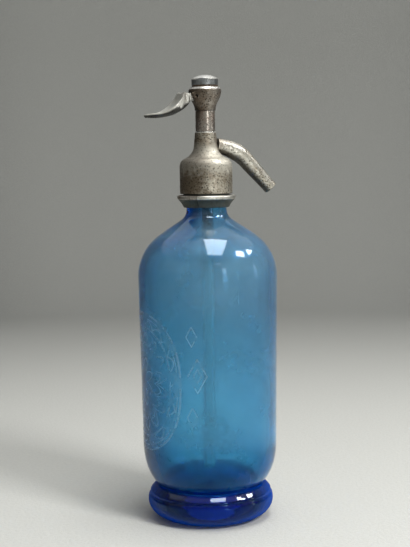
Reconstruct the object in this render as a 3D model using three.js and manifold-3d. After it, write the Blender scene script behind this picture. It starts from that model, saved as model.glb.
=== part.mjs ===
// A soda siphon: a blue glass bottle with a cast metal head that a hand lever opens.
// Lengths are in millimetres and +Z is up. The origin is on the bottle's axis, where it stands.
// The lever points along -X and the spout along +X.

import * as THREE from 'three';
import { mergeVertices } from 'three/addons/utils/BufferGeometryUtils.js';
import Module from 'manifold-3d';

const wasm = await Module();
wasm.setup();

// Clearances shared by every fit, and the tools that cut
const seatGap = 0.3;
const slideGap = 0.4;
const cutOverrun = 4;
const weldDistance = 0.0001;

// Facets round each size of turned piece, and steps along each curve
const bottleFacets = 36;
const headFacets = 32;
const smallFacets = 24;
const pinFacets = 16;
const curveSteps = 4;

// Bottle: foot ring, body, shoulder, neck and lip
const bodyRadius = 51.3;
const bodyTaper = 1.6;
const glassWall = 4.5;
const creaseInset = 12.3;
const footHeight = 25.5;
const footBulge = 7.7;
const footEquatorShare = 0.53;
const restRingInset = 10.5;
const restRingWidth = 5;
const puntDepth = 14;
const puntEase = 3;
const lowerCurveHeight = 29.5;
const lowerCurvePullShares = [0.97, 0.37];
const sideHeight = 125.4;
const shoulderRound = 37;
const shoulderTurnDegrees = 56;
const neckBlend = 9.5;
const neckRadius = 14.8;
const neckHeight = 17.3;
const lipBulge = 1.4;
const lipHeight = 6;
const lipEase = 1;
const floorDrop = 4;
const floorPushUp = 5;
const floorPushUpWidth = 10;
const floorCornerWidth = 25;
const floorCornerLean = 5;

// Dip tube, and the sleeve and holder that hang it in the neck
const dipTubeRadius = 4.7;
const dipTubeWall = 1.9;
const dipTubeFloorGap = 8;
const sleeveWall = 1;
const hubWall = 2.3;
const hubLength = 9.6;
const hubWeb = 1.3;
const holderFlangeInset = 0.7;
const holderFlangeThickness = 1.8;
const mouthGasketThickness = 2;
const headGasketThickness = 1;
const headGasketWidth = 9;

// Split collar that grips under the glass lip
const collarFootWall = 1.9;
const collarFlareHeight = 6.4;
const collarFlarePullShares = [0.3, 0.58];
const flangeOverhang = 4.5;
const flangeEdgeHeight = 1.6;
const flangeTopEase = 1;
const shankHeight = 6.7;
const seamGap = 0.3;
const seamAngleDegrees = -127;

// Head body: the bell that screws onto the collar, and the flow chamber above it
const bellRadius = 19.34;
const bellWall = 2.1;
const bellRimGap = 1;
const bellTopRise = 1.5;
const bellShoulderHeight = 14.5;
const bellShoulderShares = [[1, 0.35], [0.515, 0.46], [0.06, 0.68]];
const bodyNeckRadius = 8.75;
const bodyNeckTaper = 1.05;
const bodyNeckHeight = 11;
const bodyNeckEase = 0.3;
const chamberFloorRise = 5;
const chamberGap = 0.6;

// Valve seat, disc, cup and rod
const portRadius = 2.2;
const seatLipWidth = 0.6;
const seatLipHeight = 0.5;
const seatFlangeThickness = 1.3;
const seatShankRadius = 3.4;
const discOverhang = 0.3;
const discThickness = 3.2;
const discProud = 0.8;
const cupWall = 0.7;
const cupRoofThickness = 3.6;
const rodRadius = 2.2;
const rodSpigotRadius = 1.5;
const rodSpigotLength = 2.5;

// Neck tube with its packing and gland nut
const neckTubeRadius = 7.2;
const neckTubeHeight = 14.7;
const neckSpigotRadius = 6.3;
const lowerSpigotLength = 5;
const upperSpigotLength = 4.4;
const packingLedgeRise = 1.8;
const packingLedgeWidth = 0.8;
const packingThickness = 2.8;
const glandHeight = 4;
const glandSlotWidth = 1.4;
const glandSlotDepth = 1.2;

// Lever housing: the bulb that holds the lever's pin and guides the piston head
const bulbRadius = 11.9;
const bulbFootRadius = 7.65;
const bulbFootHeight = 1.2;
const bulbFlareHeight = 12.5;
const bulbFlarePullShares = [0.28, 0.64];
const bulbBandHeight = 1.3;
const bulbChamferHeight = 2.3;
const bulbChamferWidth = 1.85;
const capSpigotRadius = 8.2;
const capSpigotHeight = 3.7;

// Cap, its washer and the spring under it
const capWasherThickness = 0.5;
const capWasherInset = 0.45;
const capRadius = 9.7;
const capRimBulge = 0.2;
const capRimHeight = 0.5;
const capBandHeight = 4.1;
const capDomeRise = 2.8;
const capDomePullShare = 0.5;
const capPocketRadius = 5.2;
const capPocketDepth = 1.5;
const springWasherThickness = 0.8;
const springWasherBore = 2;
const springCoilRadius = 3.6;
const springWireRadius = 0.45;
const springTurns = 4.5;
const springSides = 6;
const springStepsPerTurn = 14;

// Piston head and the lever's pivot
const pistonHeadRadius = 4.5;
const pistonHeadRoof = 2.2;
const pistonHeadBase = 3.8;
const pivotOffset = 9;
const pivotHeightShare = 0.72;
const pinRadius = 1.3;
const pinInset = 0.3;
const pinBulbShare = 0.94;

// Lever: the finger in the piston head, the boss on the pin, and the leaf that the hand presses
const fingerHalfHeight = 1.3;
const fingerHalfWidth = 2.5;
const fingerReach = 7.5;
const fingerTipGap = 0.5;
const fingerDropRoom = 1;
const bossRadius = 3.2;
const bossNeckHalfHeight = 2.6;
const leverReach = 37;
const leverDrop = 15.4;
const leverHalfWidth = 11.3;
const leverTopShares = [
  [-0.11, 0.013], [-0.138, 0.071], [-0.181, 0.162], [-0.224, 0.208], [-0.251, 0.2], [-0.278, 0.084],
  [-0.311, -0.078], [-0.368, -0.234], [-0.441, -0.409], [-0.522, -0.536], [-0.611, -0.646],
  [-0.7, -0.724], [-0.792, -0.76], [-0.916, -0.799], [-1, -0.838],
];
const leverUnderShares = [
  [-1, -0.977], [-0.838, -1], [-0.757, -0.994], [-0.649, -0.968], [-0.541, -0.919], [-0.438, -0.857],
  [-0.335, -0.75], [-0.232, -0.617], [-0.149, -0.455], [-0.11, -0.351],
];
const leverPlanShares = [
  [-0.108, 0.52], [-0.195, 0.62], [-0.25, 0.75], [-0.325, 0.9], [-0.405, 1], [-0.51, 0.94],
  [-0.61, 0.79], [-0.715, 0.63], [-0.81, 0.53], [-0.89, 0.44], [-0.97, 0.28], [-1, 0.1],
];

// Spout: a tapered tube that leaves the neck, bends and runs straight to its mouth
const spoutRootRise = 17.2;
const spoutRootDegrees = 9;
const spoutEndDegrees = 47;
const spoutBendRadius = 33;
const spoutBendStart = 12;
const spoutStraightLength = 28.6;
const spoutRadius = 6.5;
const spoutRadiusShares = [[0, 0.87], [0.14, 0.89], [0.34, 1], [0.55, 0.92], [1, 0.79]];
const spoutBoreRadius = 3;
const spoutSpigotWall = 0.9;
const spoutFacets = 16;
const spoutStations = 10;

// Radii that follow from the sizes above
const creaseRadius = bodyRadius - creaseInset;
const footRadius = creaseRadius + footBulge;
const sideLowRadius = bodyRadius - bodyTaper;
const neckBoreRadius = neckRadius - glassWall;
const lipRadius = neckRadius + lipBulge;
const dipTubeBore = dipTubeRadius - dipTubeWall;
const sleeveRadius = dipTubeRadius + seatGap + sleeveWall;
const hubBore = sleeveRadius + seatGap;
const hubRadius = hubBore + hubWall;
const bellBore = bellRadius - bellWall;
const shankRadius = bellBore - seatGap;
const collarBore = neckRadius + seatGap;
const collarFootRadius = collarBore + collarFootWall;
const flangeRadius = shankRadius + flangeOverhang;
const gasketRadius = bellBore - holderFlangeInset;
const seatLipRadius = portRadius + seatLipWidth;
const discRadius = seatLipRadius + discOverhang;
const cupRadius = discRadius + seatGap + cupWall;
const chamberRadius = cupRadius + chamberGap;
const seatFlangeRadius = chamberRadius - seatGap;
const rodSpigotHole = rodSpigotRadius + seatGap;
const rodClearRadius = rodRadius + seatGap;
const neckTubeBore = cupRadius + seatGap;
const packingBore = neckTubeBore + packingLedgeWidth;
const glandRadius = packingBore - seatGap;
const spigotSocketRadius = neckSpigotRadius + seatGap;
const guideBore = pistonHeadRadius + seatGap;
const bulbTopRadius = bulbRadius - bulbChamferWidth;
const capBore = capSpigotRadius + seatGap;
const pinHoleRadius = pinRadius + seatGap;
const slotHalfWidth = fingerHalfWidth + slideGap;
const pinHalfLength = Math.sqrt((bulbRadius * pinBulbShare) ** 2 - pivotOffset ** 2) - pinInset;
const spoutSpigotRadius = spoutBoreRadius + spoutSpigotWall;
const spoutHoleRadius = spoutSpigotRadius + seatGap;

// Angles that follow
const shoulderTurn = THREE.MathUtils.degToRad(shoulderTurnDegrees);
const seamAngle = THREE.MathUtils.degToRad(seamAngleDegrees);
const spoutRootAngle = THREE.MathUtils.degToRad(spoutRootDegrees);
const spoutEndAngle = THREE.MathUtils.degToRad(spoutEndDegrees);

// Heights of the bottle
const sideStart = footHeight + lowerCurveHeight;
const shoulderStart = sideStart + sideHeight;
const slopeTopRadius = bodyRadius - shoulderRound * (1 - Math.cos(shoulderTurn));
const slopeTopHeight = shoulderStart + shoulderRound * Math.sin(shoulderTurn);
const slopeEndRadius = neckRadius + neckBlend * (1 - Math.cos(shoulderTurn));
const slopeEndHeight = slopeTopHeight + (slopeTopRadius - slopeEndRadius) / Math.tan(shoulderTurn);
const neckStart = slopeEndHeight + neckBlend * Math.sin(shoulderTurn);
const lipStart = neckStart + neckHeight;
const mouthHeight = lipStart + lipHeight;
const floorHeight = footHeight - floorDrop;

// Heights of the seals and the head, stacked on the bottle's mouth
const mouthGasketHeight = mouthHeight + seatGap;
const holderFlangeHeight = mouthGasketHeight + mouthGasketThickness + seatGap;
const headGasketHeight = holderFlangeHeight + holderFlangeThickness + seatGap;
const bellCeiling = headGasketHeight + headGasketThickness + seatGap;
const tubeSocketCeiling = holderFlangeHeight - hubWeb;
const sleeveLength = hubLength - hubWeb - seatGap;
const dipTubeFoot = floorHeight + floorPushUp + dipTubeFloorGap;
const dipTubeLength = tubeSocketCeiling - seatGap - dipTubeFoot;
const flangeTop = collarFlareHeight + flangeEdgeHeight + flangeTopEase;
const collarHeight = flangeTop + shankHeight;
const collarFoot = lipStart - seatGap - collarHeight;
const bellRim = collarFoot + flangeTop + bellRimGap;
const bellDepth = bellCeiling - bellRim;
const bellShoulderStart = bellDepth + bellTopRise;
const bodyNeckStart = bellShoulderStart + bellShoulderHeight;
const headBodyHeight = bodyNeckStart + bodyNeckHeight;
const chamberFloor = bellCeiling + chamberFloorRise;
const valveSeatHeight = chamberFloor + seatGap;
const discHeight = valveSeatHeight + seatFlangeThickness + seatLipHeight + seatGap;
const cupHeight = discHeight + discProud;
const cupSkirtDepth = discThickness - discProud + seatGap;
const cupTop = cupHeight + cupSkirtDepth + cupRoofThickness;
const neckTubeFoot = bellRim + headBodyHeight + seatGap;
const packingLedge = neckTubeFoot + packingLedgeRise;
const packingHeight = packingLedge + seatGap;
const glandFoot = packingHeight + packingThickness + seatGap;
const housingFoot = neckTubeFoot + neckTubeHeight + seatGap;
const bulbTop = bulbFootHeight + bulbFlareHeight + bulbBandHeight + bulbChamferHeight;
const housingHeight = bulbTop + capSpigotHeight;
const pivotHeight = housingFoot + bulbFootHeight + bulbFlareHeight * pivotHeightShare;
const capWasherHeight = housingFoot + bulbTop + seatGap;
const capFoot = capWasherHeight + capWasherThickness + seatGap;
const capSkirtDepth = housingFoot + housingHeight + seatGap - capFoot;
const capPocketCeiling = capSkirtDepth + capPocketDepth;
const springWasherHeight = capFoot + capPocketCeiling - seatGap - springWasherThickness;

// Room for the lever's finger in the piston head, about the pivot's height
const pistonSlotRoof = fingerHalfHeight + seatGap;
const pistonSlotFloor = fingerHalfHeight + fingerDropRoom;
const pistonSlotHeight = pistonSlotRoof + pistonSlotFloor;
const pistonSlotEnd = fingerReach - pivotOffset + fingerTipGap;
const pistonHeadFoot = pivotHeight - pistonSlotFloor - pistonHeadBase;
const pistonHeadHeight = pistonHeadBase + pistonSlotHeight + pistonHeadRoof;
const housingSlotHalfHeight = bossRadius + slideGap;
const springFoot = pistonHeadFoot + pistonHeadHeight + seatGap;
const springLength = springWasherHeight - seatGap - springFoot;
const rodFoot = cupTop + seatGap;
const rodLength = pistonHeadFoot - seatGap - rodFoot;

// A closed mesh as a solid that can be joined and cut
function solid(geometry) {
  geometry.deleteAttribute('normal');
  geometry.deleteAttribute('uv');
  const welded = mergeVertices(geometry, weldDistance);
  const corners = Array.from(welded.index.array);
  const triangles = [];
  for (let i = 0; i < corners.length; i += 3) {
    const triangle = corners.slice(i, i + 3);
    if (new Set(triangle).size === triangle.length) triangles.push(...triangle);
  }
  const vertProperties = Float32Array.from(welded.attributes.position.array);
  const triVerts = Uint32Array.from(triangles);
  return new wasm.Manifold(new wasm.Mesh({ numProp: 3, vertProperties, triVerts }));
}

// A half section, drawn as radius and height, turned about the Z axis
function turned(section, facets) {
  const points = section.getPoints(curveSteps);
  if (THREE.ShapeUtils.isClockWise(points)) points.reverse();
  const onAxis = points[0].x === 0 && points[points.length - 1].x === 0;
  if (!onAxis) points.push(points[0].clone());
  const geometry = new THREE.LatheGeometry(points, facets);
  return solid(geometry.rotateX(Math.PI / 2));
}

function polygon(points) {
  const path = new THREE.Path();
  path.moveTo(...points[0]);
  for (const point of points.slice(1)) path.lineTo(...point);
  return path;
}

function rod(radius, height, facets) {
  return turned(polygon([[0, 0], [radius, 0], [radius, height], [0, height]]), facets);
}

function ring(bore, radius, height, facets) {
  return turned(polygon([[bore, 0], [radius, 0], [radius, height], [bore, height]]), facets);
}

function block(low, high) {
  const size = high.map((value, axis) => value - low[axis]);
  const centre = high.map((value, axis) => (value + low[axis]) / 2);
  return solid(new THREE.BoxGeometry(...size).translate(...centre));
}

// A rod that lies along the Y axis, centred on it
function crossRod(radius, halfLength, facets) {
  return rod(radius, halfLength * 2, facets).translate([0, 0, -halfLength]).rotate([90, 0, 0]);
}

const siphon = new THREE.Group();

// A piece of the siphon as a named mesh, standing at its own height in its group
function addPiece(group, name, shape, material, height = 0) {
  const { vertProperties, triVerts } = shape.getMesh();
  const geometry = new THREE.BufferGeometry();
  geometry.setAttribute('position', new THREE.BufferAttribute(vertProperties, 3));
  geometry.setIndex(new THREE.BufferAttribute(triVerts, 1));
  geometry.computeVertexNormals();
  const mesh = new THREE.Mesh(geometry, material);
  mesh.name = name;
  mesh.position.z = height;
  group.add(mesh);
  return mesh;
}

// Each call gives a piece a material of its own
function metal(color, roughness) {
  return new THREE.MeshStandardMaterial({ color, roughness, metalness: 0.9 });
}

function seal(color) {
  return new THREE.MeshStandardMaterial({ color, roughness: 0.85, metalness: 0 });
}

function glass(color, opacity) {
  return new THREE.MeshStandardMaterial({ color, roughness: 0.12, opacity, transparent: true });
}

// The bottle's half section, outside from the punt up and inside back down to the floor
function bottleSection() {
  const section = new THREE.Path();
  const restRingOuter = creaseRadius - restRingInset;
  const restRingInner = restRingOuter - restRingWidth;
  const equator = footHeight * footEquatorShare;
  const lowerWidth = sideLowRadius - creaseRadius;
  section.moveTo(0, puntDepth);
  section.quadraticCurveTo(restRingInner - puntEase, puntDepth, restRingInner, 0);
  section.lineTo(restRingOuter, 0);
  section.absellipse(
    restRingOuter, equator, footRadius - restRingOuter, equator, -Math.PI / 2, 0,
  );
  section.absellipse(creaseRadius, equator, footBulge, footHeight - equator, 0, Math.PI / 2);
  section.quadraticCurveTo(
    creaseRadius + lowerWidth * lowerCurvePullShares[0],
    footHeight + lowerCurveHeight * lowerCurvePullShares[1],
    sideLowRadius,
    sideStart,
  );
  section.lineTo(bodyRadius, shoulderStart);
  section.absarc(bodyRadius - shoulderRound, shoulderStart, shoulderRound, 0, shoulderTurn);
  section.absarc(neckRadius + neckBlend, neckStart, neckBlend, Math.PI + shoulderTurn, Math.PI, true);
  section.lineTo(neckRadius, lipStart);
  section.lineTo(lipRadius, lipStart + lipEase);
  section.lineTo(lipRadius, mouthHeight - lipEase);
  section.lineTo(lipRadius - lipEase, mouthHeight);
  section.lineTo(neckBoreRadius + lipEase, mouthHeight);
  section.lineTo(neckBoreRadius, mouthHeight - lipEase);
  section.absarc(
    neckRadius + neckBlend, neckStart, neckBlend + glassWall, Math.PI, Math.PI + shoulderTurn,
  );
  section.absarc(
    bodyRadius - shoulderRound, shoulderStart, shoulderRound - glassWall, shoulderTurn, 0, true,
  );
  const innerLowRadius = sideLowRadius - glassWall;
  const floorRadius = innerLowRadius - floorCornerWidth;
  section.lineTo(innerLowRadius, sideStart);
  section.quadraticCurveTo(
    innerLowRadius - floorCornerLean, floorHeight, floorRadius, floorHeight,
  );
  section.quadraticCurveTo(
    floorRadius - floorPushUpWidth, floorHeight, 0, floorHeight + floorPushUp,
  );
  return section;
}

function tubeHolder() {
  const section = polygon([
    [dipTubeBore, -hubWeb],
    [hubBore, -hubWeb],
    [hubBore, -hubLength],
    [hubRadius, -hubLength],
    [hubRadius, 0],
    [gasketRadius, 0],
    [gasketRadius, holderFlangeThickness],
    [dipTubeBore, holderFlangeThickness],
  ]);
  return turned(section, headFacets);
}

// One half of the split collar, on the +Y side of its seam
function collarHalf() {
  const section = new THREE.Path();
  const flareWidth = flangeRadius - collarFootRadius;
  section.moveTo(collarBore, 0);
  section.lineTo(collarFootRadius, 0);
  section.quadraticCurveTo(
    collarFootRadius + flareWidth * collarFlarePullShares[0],
    collarFlareHeight * collarFlarePullShares[1],
    flangeRadius,
    collarFlareHeight,
  );
  section.lineTo(flangeRadius, collarFlareHeight + flangeEdgeHeight);
  section.lineTo(flangeRadius - flangeTopEase, flangeTop);
  section.lineTo(shankRadius, flangeTop);
  section.lineTo(shankRadius, collarHeight);
  section.lineTo(collarBore, collarHeight);
  const reach = flangeRadius + cutOverrun;
  const side = block([-reach, seamGap / 2, -cutOverrun], [reach, reach, collarHeight + cutOverrun]);
  return turned(section, headFacets).intersect(side);
}

// The outside of the head body above its rim, with any growth for what has to clear it
function headBodyOutline(section, growth) {
  const neckWidth = bellRadius - bodyNeckRadius;
  const shoulderPoints = bellShoulderShares.map(([across, up]) => [
    bodyNeckRadius + neckWidth * across + growth,
    bellShoulderStart + bellShoulderHeight * up + growth,
  ]);
  const topRadius = bodyNeckRadius - bodyNeckTaper + growth;
  section.lineTo(bellRadius + growth, 0);
  section.lineTo(bellRadius + growth, bellShoulderStart);
  section.quadraticCurveTo(...shoulderPoints[0], ...shoulderPoints[1]);
  section.quadraticCurveTo(...shoulderPoints[2], bodyNeckRadius + growth, bodyNeckStart + growth);
  section.lineTo(topRadius, headBodyHeight - bodyNeckEase);
  section.lineTo(topRadius - bodyNeckEase, headBodyHeight + growth);
}

// The spout's centre line, as X and height above the bell's rim
function spoutCentreLine(startX) {
  const line = new THREE.Path();
  const slope = Math.tan(spoutRootAngle);
  const bendRise = bellDepth + spoutRootRise - (spoutBendStart - chamberRadius) * slope;
  const startRise = bendRise + (spoutBendStart - startX) * slope;
  const centreX = spoutBendStart - spoutBendRadius * Math.sin(spoutRootAngle);
  const centreZ = bendRise - spoutBendRadius * Math.cos(spoutRootAngle);
  const fromAngle = Math.PI / 2 - spoutRootAngle;
  const toAngle = Math.PI / 2 - spoutEndAngle;
  line.moveTo(startX, startRise);
  line.lineTo(spoutBendStart, bendRise);
  line.absarc(centreX, centreZ, spoutBendRadius, fromAngle, toAngle, true);
  const straightX = centreX + spoutBendRadius * Math.sin(spoutEndAngle);
  const straightZ = centreZ + spoutBendRadius * Math.cos(spoutEndAngle);
  line.lineTo(
    straightX + spoutStraightLength * Math.cos(spoutEndAngle),
    straightZ - spoutStraightLength * Math.sin(spoutEndAngle),
  );
  return line;
}

// A turned rod laid along a line in the XZ plane, with its radius given along the line
function rodAlong(line, radiusAt, overrun) {
  const stations = Array.from({ length: spoutStations + 1 }, (_, i) => i / spoutStations);
  const outline = stations.map((share) => [radiusAt(share), share]);
  const section = polygon([[0, 0], ...outline, [0, 1]]).getPoints();
  const geometry = new THREE.LatheGeometry(section, spoutFacets).rotateX(Math.PI / 2);
  const position = geometry.attributes.position;
  for (let i = 0; i < position.count; i += 1) {
    const station = Math.round(position.getZ(i) * spoutStations);
    const share = station / spoutStations;
    const point = line.getPointAt(share);
    const tangent = line.getTangentAt(share);
    const along = station === spoutStations ? overrun : 0;
    const across = position.getX(i);
    const x = point.x + tangent.y * across + tangent.x * along;
    const z = point.y - tangent.x * across + tangent.y * along;
    position.setXYZ(i, x, position.getY(i), z);
  }
  return solid(geometry);
}

function spoutRadiusAt(share) {
  const next = Math.max(1, spoutRadiusShares.findIndex(([at]) => at >= share));
  const [fromShare, fromRadius] = spoutRadiusShares[next - 1];
  const [toShare, toRadius] = spoutRadiusShares[next];
  const blend = THREE.MathUtils.smoothstep(share, fromShare, toShare);
  return spoutRadius * THREE.MathUtils.lerp(fromRadius, toRadius, blend);
}

// A rod on the spout's first stretch, from one X to another
function spoutRootRod(radius, fromX, toX) {
  const line = new THREE.Path();
  const rise = bellDepth + spoutRootRise;
  const slope = Math.tan(spoutRootAngle);
  line.moveTo(fromX, rise - (fromX - chamberRadius) * slope);
  line.lineTo(toX, rise - (toX - chamberRadius) * slope);
  return rodAlong(line, () => radius, 0);
}

function headBody() {
  const outside = new THREE.Path();
  outside.moveTo(0, 0);
  headBodyOutline(outside, 0);
  outside.lineTo(0, headBodyHeight);
  const chamberBase = bellDepth + chamberFloorRise;
  const bell = rod(bellBore, bellDepth + cutOverrun, headFacets).translate([0, 0, -cutOverrun]);
  const chamber = rod(chamberRadius, headBodyHeight, smallFacets).translate([0, 0, chamberBase]);
  const seatHole = rod(seatShankRadius + seatGap, chamberBase, smallFacets);
  const socketBase = headBodyHeight - lowerSpigotLength;
  const socket = rod(spigotSocketRadius, headBodyHeight, smallFacets).translate([0, 0, socketBase]);
  const spoutHole = spoutRootRod(spoutHoleRadius, 0, spoutBendStart);
  return turned(outside, headFacets)
    .subtract(bell)
    .subtract(seatHole.translate([0, 0, cutOverrun]))
    .subtract(chamber)
    .subtract(socket)
    .subtract(spoutHole);
}

function spout() {
  const clearance = new THREE.Path();
  clearance.moveTo(0, 0);
  headBodyOutline(clearance, seatGap);
  clearance.lineTo(0, headBodyHeight + seatGap);
  const outside = rodAlong(spoutCentreLine(chamberRadius), spoutRadiusAt, 0);
  const spigotEnd = chamberRadius + seatGap;
  const spigot = spoutRootRod(spoutSpigotRadius, spigotEnd, spoutBendStart);
  const bore = rodAlong(spoutCentreLine(0), () => spoutBoreRadius, cutOverrun);
  return outside.subtract(turned(clearance, headFacets)).add(spigot).subtract(bore);
}

function valveSeat() {
  const section = polygon([
    [portRadius, -chamberFloorRise],
    [seatShankRadius, -chamberFloorRise],
    [seatShankRadius, 0],
    [seatFlangeRadius, 0],
    [seatFlangeRadius, seatFlangeThickness],
    [seatLipRadius, seatFlangeThickness],
    [seatLipRadius, seatFlangeThickness + seatLipHeight],
    [portRadius, seatFlangeThickness + seatLipHeight],
  ]);
  return turned(section, smallFacets);
}

function valveCup() {
  const height = cupSkirtDepth + cupRoofThickness;
  const pocket = rod(cupRadius - cupWall, cupSkirtDepth + cutOverrun, smallFacets);
  const hole = rod(rodSpigotHole, rodSpigotLength + cutOverrun, pinFacets);
  return rod(cupRadius, height, smallFacets)
    .subtract(pocket.translate([0, 0, -cutOverrun]))
    .subtract(hole.translate([0, 0, height - rodSpigotLength]));
}

function pistonRod() {
  const section = polygon([
    [0, -rodSpigotLength],
    [rodSpigotRadius, -rodSpigotLength],
    [rodSpigotRadius, 0],
    [rodRadius, 0],
    [rodRadius, rodLength],
    [rodSpigotRadius, rodLength],
    [rodSpigotRadius, rodLength + rodSpigotLength],
    [0, rodLength + rodSpigotLength],
  ]);
  return turned(section, pinFacets);
}

function pistonHead() {
  const reach = pistonHeadRadius + cutOverrun;
  const slot = block(
    [-reach, -slotHalfWidth, pistonHeadBase],
    [pistonSlotEnd, slotHalfWidth, pistonHeadBase + pistonSlotHeight],
  );
  const hole = rod(rodSpigotHole, rodSpigotLength + cutOverrun, pinFacets);
  return rod(pistonHeadRadius, pistonHeadHeight, smallFacets)
    .subtract(slot)
    .subtract(hole.translate([0, 0, -cutOverrun]));
}

// The tube between the head body and the lever housing, a spigot at each end
function neckTube() {
  const top = neckTubeHeight + upperSpigotLength;
  const section = polygon([
    [neckTubeBore, -lowerSpigotLength],
    [neckSpigotRadius, -lowerSpigotLength],
    [neckSpigotRadius, 0],
    [neckTubeRadius, 0],
    [neckTubeRadius, neckTubeHeight],
    [neckSpigotRadius, neckTubeHeight],
    [neckSpigotRadius, top],
    [packingBore, top],
    [packingBore, packingLedgeRise],
    [neckTubeBore, packingLedgeRise],
  ]);
  return turned(section, smallFacets);
}

function glandNut() {
  const reach = glandRadius + cutOverrun;
  const slot = block(
    [-reach, -glandSlotWidth / 2, glandHeight - glandSlotDepth],
    [reach, glandSlotWidth / 2, glandHeight + cutOverrun],
  );
  return ring(rodClearRadius, glandRadius, glandHeight, smallFacets).subtract(slot);
}

function leverHousing() {
  const flareStart = bulbFootHeight;
  const flareEnd = flareStart + bulbFlareHeight;
  const outside = new THREE.Path();
  outside.moveTo(0, 0);
  outside.lineTo(bulbFootRadius, 0);
  outside.lineTo(bulbFootRadius, flareStart);
  outside.bezierCurveTo(
    bulbFootRadius, flareStart + bulbFlareHeight * bulbFlarePullShares[0],
    bulbRadius, flareStart + bulbFlareHeight * bulbFlarePullShares[1],
    bulbRadius, flareEnd,
  );
  outside.lineTo(bulbRadius, flareEnd + bulbBandHeight);
  outside.lineTo(bulbTopRadius, bulbTop);
  outside.lineTo(capSpigotRadius, bulbTop);
  outside.lineTo(capSpigotRadius, housingHeight);
  outside.lineTo(0, housingHeight);
  const socket = rod(spigotSocketRadius, upperSpigotLength + cutOverrun, smallFacets);
  const guide = rod(guideBore, housingHeight + cutOverrun, smallFacets);
  const pivotRise = pivotHeight - housingFoot;
  const slot = block(
    [-bulbRadius - cutOverrun, -slotHalfWidth, pivotRise - housingSlotHalfHeight],
    [0, slotHalfWidth, pivotRise + housingSlotHalfHeight],
  );
  const pinHole = crossRod(pinHoleRadius, bulbRadius, pinFacets);
  return turned(outside, headFacets)
    .subtract(socket.translate([0, 0, -cutOverrun]))
    .subtract(guide)
    .subtract(slot)
    .subtract(pinHole.translate([-pivotOffset, 0, pivotRise]));
}

function screwCap() {
  const bandTop = capBandHeight;
  const rimTop = bandTop + capRimHeight;
  const section = new THREE.Path();
  section.moveTo(0, capPocketCeiling);
  section.lineTo(capPocketRadius, capPocketCeiling);
  section.lineTo(capPocketRadius, capSkirtDepth);
  section.lineTo(capBore, capSkirtDepth);
  section.lineTo(capBore, 0);
  section.lineTo(capRadius, 0);
  section.lineTo(capRadius, bandTop);
  section.lineTo(capRadius + capRimBulge, bandTop + capRimBulge);
  section.lineTo(capRadius + capRimBulge, rimTop);
  const domeTop = rimTop + capDomeRise;
  section.quadraticCurveTo(capRadius * capDomePullShare, domeTop, 0, domeTop);
  return turned(section, headFacets);
}

// The spring's wire path, round the Z axis
class Helix extends THREE.Curve {
  getPoint(share, target = new THREE.Vector3()) {
    const angle = share * springTurns * 2 * Math.PI;
    const rise = springWireRadius + share * (springLength - 2 * springWireRadius);
    return target.set(springCoilRadius * Math.cos(angle), springCoilRadius * Math.sin(angle), rise);
  }
}

function springSteps() {
  return Math.round(springTurns * springStepsPerTurn);
}

function valveSpring() {
  const wire = new THREE.Shape();
  const sides = Array.from({ length: springSides }, (_, i) => (i * 2 * Math.PI) / springSides);
  const corners = sides.map((angle) => new THREE.Vector2(Math.cos(angle), Math.sin(angle)));
  wire.setFromPoints(corners.map((corner) => corner.multiplyScalar(springWireRadius)));
  const options = { steps: springSteps(), bevelEnabled: false, extrudePath: new Helix() };
  return solid(new THREE.ExtrudeGeometry(wire, options));
}

// The least clear distance between points of the wire that are half a turn apart or more
function springLeastGap() {
  const points = new Helix().getPoints(springSteps());
  const apart = Math.round(springStepsPerTurn / 2);
  let least = Infinity;
  for (let i = 0; i < points.length; i += 1) {
    for (let j = i + apart; j < points.length; j += 1) {
      least = Math.min(least, points[i].distanceTo(points[j]) - 2 * springWireRadius);
    }
  }
  return least;
}

// The lever about its pivot: a side view and a top view of the leaf, and the part in the slot
function lever() {
  const depth = leverHalfWidth * 2;
  const outlinePoints = [...leverTopShares, ...leverUnderShares];
  const sideView = new THREE.Shape();
  sideView.setFromPoints(
    outlinePoints.map(([along, up]) => new THREE.Vector2(along * leverReach, up * leverDrop)),
  );
  const side = new THREE.ExtrudeGeometry(sideView, { depth, bevelEnabled: false });
  side.rotateX(Math.PI / 2).translate(0, leverHalfWidth, 0);
  const nearEdge = leverPlanShares.map(([along, across]) => [along, -across]);
  const planPoints = [...leverPlanShares, ...nearEdge.reverse()];
  const topView = new THREE.Shape();
  topView.setFromPoints(
    planPoints.map(([along, across]) => new THREE.Vector2(along * leverReach, across * leverHalfWidth)),
  );
  const planDepth = leverDrop + 2 * cutOverrun;
  const plan = new THREE.ExtrudeGeometry(topView, { depth: planDepth, bevelEnabled: false });
  plan.translate(0, 0, -leverDrop - cutOverrun);
  const leaf = solid(side).intersect(solid(plan));
  const hubFace = -leverReach * leverPlanShares[0][0];
  const bossNeck = block(
    [-hubFace - bossNeckHalfHeight, -fingerHalfWidth, -bossNeckHalfHeight],
    [0, fingerHalfWidth, bossNeckHalfHeight],
  );
  const boss = crossRod(bossRadius, fingerHalfWidth, smallFacets);
  const finger = block(
    [0, -fingerHalfWidth, -fingerHalfHeight],
    [fingerReach - fingerHalfHeight, fingerHalfWidth, fingerHalfHeight],
  );
  const fingerTip = crossRod(fingerHalfHeight, fingerHalfWidth, pinFacets);
  const pinHole = crossRod(pinHoleRadius, leverHalfWidth, pinFacets);
  return leaf
    .add(bossNeck)
    .add(boss)
    .add(finger)
    .add(fingerTip.translate([fingerReach - fingerHalfHeight, 0, 0]))
    .subtract(pinHole);
}

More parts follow.
